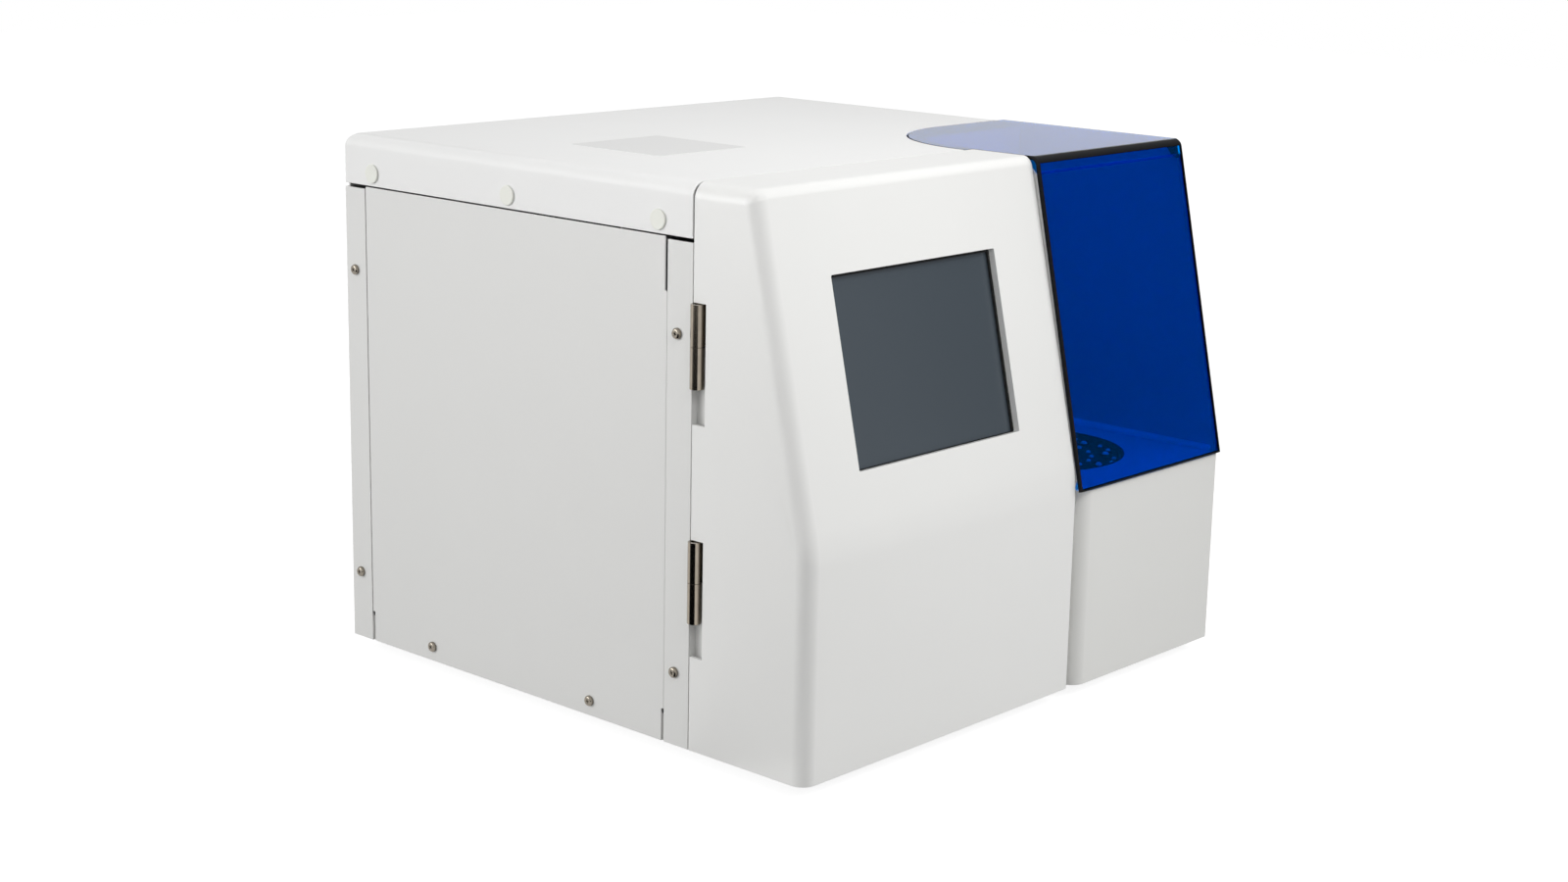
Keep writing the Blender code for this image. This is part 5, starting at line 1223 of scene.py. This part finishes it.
@dataclass
class SideScrews:
    """The six cross-recess pan-head screws of the left side."""

    radius: float = 0.0040
    height: float = 0.0024
    dome: float = 0.0017
    slot_width: float = 0.0009
    slot_length: float = 0.0044
    slot_depth: float = 0.0013
    places: tuple[tuple[str, float, float], ...] = (
        ("front_upper", 0.1233, 0.2955),
        ("front_lower", 0.1233, 0.0540),
        ("rear_upper", 0.4710, 0.2955),
        ("rear_lower", 0.4710, 0.0540),
        ("base_front", 0.2090, 0.0116),
        ("base_rear", 0.3848, 0.0116),
    )
    turns: tuple[float, ...] = (20.0, 65.0, 40.0, 10.0, 80.0, 35.0)

    def head(self, name: str, y: float, z: float, turn: float) -> bpy.types.Object:
        """Make one screw head.

        Args:
            name: the piece's name.
            y: its depth.
            z: its height.
            turn: how its recess is turned, in degrees.

        Returns:
            The head.
        """
        face = -GAP - self.height
        head = start_round(name, (-GAP - self.height / 2, y, z), self.radius, self.height, "X", 32)
        with editing(head):
            pick(head, "EDGE", lambda co: near(co.x, face))
            bevel_picked(self.dome, 6)
        for angle in (turn, turn + 90):
            tool = start_block(
                "recess_tool",
                (-self.slot_depth, -self.slot_length / 2, -self.slot_width / 2),
                (self.slot_depth, self.slot_length / 2, self.slot_width / 2),
            )
            with editing(tool):
                pick(tool, "VERT", lambda co: co.x > 0)
                bpy.ops.transform.resize(value=(1, 0.45, 0.6))
            tool.rotation_euler = (radians(angle), 0, 0)
            tool.location = (face, y, z)
            select_only(tool)
            bpy.ops.object.transform_apply(location=True, rotation=True, scale=True)
            carve(head, tool)
        return head

    def build(self, shop: Shop) -> None:
        """Build the screws.

        Args:
            shop: finishes the pieces.
        """
        for (name, y, z), turn in zip(self.places, self.turns):
            head = self.head(f"cross_screw_{name}", y, z, turn)
            shop.hand_over(head, "nickel_plated_steel", Body.CABINET, (f"side_screw_{name}",), 50.0)


@dataclass
class DoorHinge:
    """One lift-off hinge: two rolled halves on a pin."""

    name: str
    bottom: float
    axis_depth: float = 0.1045
    radius: float = 0.0050
    pin_radius: float = 0.0025
    bore_radius: float = 0.0028
    length: float = 0.0584
    leaf: float = 0.002
    leaf_reach: float = 0.026
    post_leaf_left: float = 0.0018
    door_leaf_left: float = 0.0033
    pin_inset: float = 0.0006
    hole_radius: float = 0.0017
    hole_shares: tuple[float, float] = (0.25, 0.75)
    hole_reach_share: float = 0.72

    def half(self, name: str, low: float, high: float, left: float, way: int) -> bpy.types.Object:
        """Make one half of the hinge.

        Args:
            name: the piece's name.
            low: its lower end.
            high: its upper end.
            left: the leaf's outer face.
            way: 1 where the leaf runs back, and -1 where it runs forward.

        Returns:
            The half.
        """
        middle = (low + high) / 2
        knuckle = start_round(name, (0, self.axis_depth, middle), self.radius, high - low)
        ends = sorted((self.axis_depth, self.axis_depth + way * self.leaf_reach))
        leaf = start_block("leaf_tool", (left, ends[0], low), (left + self.leaf, ends[1], high))
        carve(knuckle, leaf, "UNION")
        bore = start_round("bore_tool", (0, self.axis_depth, middle), self.bore_radius, high - low + OVERRUN)
        carve(knuckle, bore)
        for share in self.hole_shares:
            place = (left + self.leaf / 2, self.axis_depth + way * self.leaf_reach * self.hole_reach_share)
            hole = start_round(
                "hole_tool",
                (*place, low + (high - low) * share),
                self.hole_radius,
                self.leaf + OVERRUN,
                "X",
                24,
            )
            carve(knuckle, hole)
        ease_edges(knuckle, EASE_ROLLED, 3)
        return knuckle

    def build(self, shop: Shop) -> None:
        """Build both halves and the pin.

        Args:
            shop: finishes the pieces.
        """
        middle = self.bottom + self.length / 2
        top = self.bottom + self.length
        post = self.half(
            f"{self.name}_hinge_post_leaf", self.bottom, middle - GAP / 2, self.post_leaf_left, 1
        )
        door = self.half(f"{self.name}_hinge_door_leaf", middle + GAP / 2, top, self.door_leaf_left, -1)
        pin = start_round(
            f"{self.name}_hinge_pin_round",
            (0, self.axis_depth, middle),
            self.pin_radius,
            self.length - 2 * self.pin_inset,
        )
        ease_edges(pin, 0.0009, 4)
        nickel = "rolled_nickel_steel"
        shop.hand_over(post, nickel, Body.CABINET, (f"hinge_{self.name}_post_half",))
        shop.hand_over(door, nickel, Body.DOOR, (f"hinge_{self.name}_door_half",))
        shop.hand_over(pin, nickel, Body.CABINET, (f"hinge_{self.name}_pin",))


@dataclass
class TubeSleeves:
    """The dark sleeves in the carousel's wells, which hold the sample tubes."""

    centre: tuple[float, float] = (0.3830, 0.1070)
    ring: float = 0.062
    count: int = 10
    first_angle: float = 135.0
    outer: float = 0.0065
    inner: float = 0.0052
    top: float = 0.1518
    length: float = 0.030
    domes: tuple[tuple[str, float, float, float, float], ...] = (
        ("tube_cap", 0.0610, 0.0026, 0.1530, 0.0),
        ("rim_pin", 0.0670, 0.0017, 0.1522, 12.0),
        ("rim_stud", 0.0670, 0.0017, 0.1522, 24.0),
        ("ring_pin", 0.0490, 0.0018, 0.1522, 9.0),
        ("ring_stud", 0.0490, 0.0018, 0.1522, 27.0),
        ("inner_pin", 0.0370, 0.0018, 0.1522, 18.0),
    )

    def build(self, shop: Shop) -> None:
        """Build one sleeve and copy it round the carousel.

        Args:
            shop: finishes the pieces.
        """
        middle = (self.centre[0] + self.ring, self.centre[1], self.top - self.length / 2)
        sleeve = start_round("sleeve", middle, self.outer, self.length, "Z", 40)
        with editing(sleeve):
            pick_faces(sleeve, lambda co, normal: normal.z > FACING_SHARE)
            bpy.ops.mesh.inset(thickness=self.outer - self.inner)
            bpy.ops.mesh.extrude_region_move(
                TRANSFORM_OT_translate={"value": (0, 0, -self.length * 0.93)}
            )
        ease_edges(sleeve, EASE_ROLLED, 3)
        for number in range(self.count):
            copy = copy_piece(sleeve, f"tube_sleeve_{number + 1}", (0, 0, 0))
            angle = radians(self.first_angle + 360 / self.count * number)
            turn_about(copy, (*self.centre, 0), angle)
            shop.hand_over(copy, "moulded_carousel_acetal", Body.CAROUSEL)
        bpy.data.objects.remove(sleeve)
        self.build_domes(shop)

    def build_domes(self, shop: Shop) -> None:
        """Build the bright domes: a tube's cap in each well, and the pins between and inside them.

        Args:
            shop: finishes the pieces.
        """
        step = 360 / self.count
        for name, ring, radius, top, start in self.domes:
            centre = (self.centre[0] + ring, self.centre[1], top - radius / 2)
            dome = start_round(name, centre, radius, radius, "Z", 24)
            with editing(dome):
                pick(dome, "EDGE", lambda co: near(co.z, top))
                bevel_picked(radius * 0.7, 5)
            for number in range(self.count):
                copy = copy_piece(dome, f"{name}_{number + 1}", (0, 0, 0))
                turn_about(copy, (*self.centre, 0), radians(self.first_angle + start + step * number))
                shop.hand_over(copy, "moulded_nylon", Body.CAROUSEL)
            bpy.data.objects.remove(dome)


@dataclass
class Carried:
    """The nodes of the frame that keep their shape and only get a finish."""

    finishes: dict[str, tuple[str, ...]] = field(
        default_factory=lambda: {
            "powder_coated_steel": (
                "base_pan", "rear_panel", "right_side_panel", "front_post", "rear_post",
                "sample_deck", "bay_left_wall", "bay_rear_wall", "fluidics_panel", "sampler_tower",
            ),
            "moulded_nylon": ("needle_carriage", "detector_unit", "fluid_port_block"),
            "nickel_plated_steel": ("lid_hinge_frame", "lid_hinge_bracket", "lid_hinge_pin"),
            "ground_stainless_steel": (
                "carousel_shaft", "lead_screw", "sample_needle", "analysis_column", "valve_rotor",
            ),
            "moulded_black_abs": (
                "display_housing", "bay_top_frame", "carousel_bowl", "carousel_motor",
                "injection_valve", "fan_frame", "fan_rotor",
                "power_inlet",
            ),
            "turned_acetal": ("power_rocker",),
            "moulded_carousel_acetal": ("carousel_rotor",),
            "milled_aluminium": ("column_oven", "pump_unit", "power_supply"),
            "moulded_rubber": (
                "foot_front_left", "foot_front_right", "foot_rear_left", "foot_rear_right",
            ),
            "solder_masked_board": ("control_board",),
        }
    )

    def dress(self, shop: Shop) -> None:
        """Give every carried-over node its finish.

        Args:
            shop: holds the finishes.
        """
        for finish, names in self.finishes.items():
            for name in names:
                shop.finishes.give(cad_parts[name], finish)
            LOG.info("%s on %d frame nodes", finish, len(names))


@dataclass
class Studio:
    """The camera, the lamps, the white surroundings and the floor."""

    camera_place: Point = (-1.43234, -1.29394, 0.62766)
    camera_turn: Point = (1.3379958, -0.0198520, -0.8321182)
    lens: float = 57.4625
    world_strength: float = 0.52
    left_power: float = 9.5
    front_power: float = 12.0
    crest_power: float = 0.17
    lamp_side: float = 1.8
    crest_side: float = 0.35
    beam: float = 85.0
    crest_beam: float = 30.0
    floor_grey: Colour = (0.35, 0.35, 0.35, 1.0)
    floor_lift: float = 0.88
    card_black: Colour = (0.004, 0.004, 0.005, 1.0)

    def camera(self) -> None:
        """Place the camera where the photograph was taken from."""
        data = bpy.data.cameras.new("camera")
        data.lens = self.lens
        data.sensor_width = 36.0
        data.clip_start = 0.01
        camera = bpy.data.objects.new("camera", data)
        bpy.context.scene.collection.objects.link(camera)
        camera.location = self.camera_place
        camera.rotation_euler = Euler(self.camera_turn, "XYZ")
        bpy.context.scene.camera = camera

    def lamp(
        self, name: str, place: Point, target: Point, size: float, power: float, beam: float
    ) -> bpy.types.Object:
        """Hang one soft lamp, with a grid that narrows its beam.

        Args:
            name: the lamp's name.
            place: where it hangs.
            target: what it points at.
            size: the side of its square face.
            power: its power in watts.
            beam: the full angle of its grid in degrees.

        Returns:
            The lamp, which glossy surfaces don't show yet.
        """
        data = bpy.data.lights.new(name, "AREA")
        data.shape = "SQUARE"
        data.size = size
        data.spread = radians(beam)
        data.energy = power
        lamp = bpy.data.objects.new(name, data)
        bpy.context.scene.collection.objects.link(lamp)
        lamp.location = place
        aim = Vector(target) - Vector(place)
        lamp.rotation_euler = aim.to_track_quat("-Z", "Y").to_euler()
        lamp.visible_glossy = False
        return lamp

    def surroundings(self) -> None:
        """Make the white surroundings, softer as light than as background."""
        world = bpy.data.worlds.new("studio")
        bpy.context.scene.world = world
        world.use_nodes = True
        tree = world.node_tree
        back = tree.nodes["Background"]
        back.inputs["Color"].default_value = (1.0, 1.0, 1.0, 1.0)
        path = add_node(tree, "ShaderNodeLightPath")
        seen = add_node(
            tree,
            "ShaderNodeMath",
            {0: path.outputs["Is Camera Ray"], 1: path.outputs["Is Glossy Ray"]},
            operation="MAXIMUM",
        )
        seen = add_node(
            tree,
            "ShaderNodeMath",
            {0: seen.outputs["Value"], 1: path.outputs["Is Transmission Ray"]},
            operation="MAXIMUM",
        )
        level = add_node(
            tree,
            "ShaderNodeMapRange",
            {"Value": seen.outputs["Value"]},
            {"To Min": self.world_strength, "To Max": 1.0},
        )
        tree.links.new(level.outputs["Result"], back.inputs["Strength"])

    def floor(self) -> None:
        """Lay the white floor."""
        bpy.ops.object.select_all(action="DESELECT")
        bpy.ops.mesh.primitive_plane_add(size=12, location=(0, 0, 0))
        floor = bpy.context.object
        floor.name = "studio_floor"
        material = bpy.data.materials.new("matt_white_floor")
        material.use_nodes = True
        tree = material.node_tree
        shader = tree.nodes["Principled BSDF"]
        shader.inputs["Base Color"].default_value = self.floor_grey
        shader.inputs["Roughness"].default_value = 1.0
        shader.inputs["Specular IOR Level"].default_value = 0.0
        shader.inputs["Emission Color"].default_value = (1.0, 1.0, 1.0, 1.0)
        path = add_node(tree, "ShaderNodeLightPath")
        seen = add_node(
            tree,
            "ShaderNodeMath",
            {0: path.outputs["Is Camera Ray"], 1: path.outputs["Is Glossy Ray"]},
            operation="MAXIMUM",
        )
        seen = add_node(
            tree,
            "ShaderNodeMath",
            {0: seen.outputs["Value"], 1: path.outputs["Is Transmission Ray"]},
            operation="MAXIMUM",
        )
        lift = add_node(
            tree,
            "ShaderNodeMath",
            {0: seen.outputs["Value"]},
            {1: self.floor_lift},
            operation="MULTIPLY",
        )
        tree.links.new(lift.outputs["Value"], shader.inputs["Emission Strength"])
        floor.data.materials.append(material)

    def card(
        self, name: str, place: Point, size: tuple[float, float], glow: float, lying: float | None = None
    ) -> None:
        """Put a card beside the machine, which only reflections see.

        Args:
            name: the card's name.
            place: its middle.
            size: its width and height.
            glow: how bright it is, from black at zero to white at one.
            lying: how far it is turned on the floor in degrees, or None where
                it stands upright and faces the machine.
        """
        bpy.ops.object.select_all(action="DESELECT")
        bpy.ops.mesh.primitive_plane_add(size=1, location=place)
        card = bpy.context.object
        card.name = name
        card.scale = (*size, 1.0)
        if lying is None:
            card.rotation_euler = Vector((-place[0], -place[1], 0)).to_track_quat("Z", "Y").to_euler()
        else:
            card.rotation_euler = (0, 0, radians(lying))
        material = bpy.data.materials.new(f"{name}_paper")
        material.use_nodes = True
        shader = material.node_tree.nodes["Principled BSDF"]
        shader.inputs["Base Color"].default_value = self.card_black
        shader.inputs["Roughness"].default_value = 1.0
        shader.inputs["Specular IOR Level"].default_value = 0.0
        shader.inputs["Emission Color"].default_value = (1.0, 1.0, 1.0, 1.0)
        shader.inputs["Emission Strength"].default_value = glow
        card.data.materials.append(material)
        card.visible_camera = False
        card.visible_diffuse = False
        card.visible_transmission = False
        card.visible_shadow = False

    def build(self) -> None:
        """Set up the whole studio."""
        bpy.context.scene.view_settings.view_transform = "Standard"
        self.camera()
        self.surroundings()
        self.floor()
        self.card("black_card", (1.47, -0.45, 0.35), (1.9, 1.5), 0.0)
        self.card("grey_card", (1.35, 1.2, 0.9), (3.0, 1.6), 0.78)
        self.card("left_floor_card", (-1.64, -0.31, 0.004), (2.0, 2.0), 0.0, 52.0)
        side, beam = self.lamp_side, self.beam
        left = self.lamp(
            "left_lamp", (-2.3, 1.2, 0.9), (-0.2, -0.45, 0.45), side, self.left_power, beam
        )
        left.visible_glossy = True
        self.lamp("front_lamp", (1.1, -2.1, 1.9), (-0.5, -0.24, 0.5), side, self.front_power, beam)
        side, beam = self.crest_side, self.crest_beam
        self.lamp("crest_lamp", (-0.6, -1.1, 1.3), (-0.06, -0.2, 0.43), side, self.crest_power, beam)


def main() -> None:
    """Build the studio and every piece."""
    logging.basicConfig(level=logging.INFO, format="%(message)s")
    Studio().build()
    shop = Shop(Finishes())
    Carried().dress(shop)
    DoorShell().build(shop)
    Display().build(shop)
    LowerCover().build(shop)
    TopCover().build(shop)
    SampleLid().build(shop)
    SidePanel().build(shop)
    BayWallShade().build(shop)
    DeckHoleShade().build(shop)
    DeckCove().build(shop)
    PlugCaps().build(shop)
    SideScrews().build(shop)
    DoorHinge("upper", 0.2599).build(shop)
    DoorHinge("lower", 0.0942).build(shop)
    TubeSleeves().build(shop)
    LOG.info("%d new pieces", shop.count)


if __name__ == "__main__":
    main()
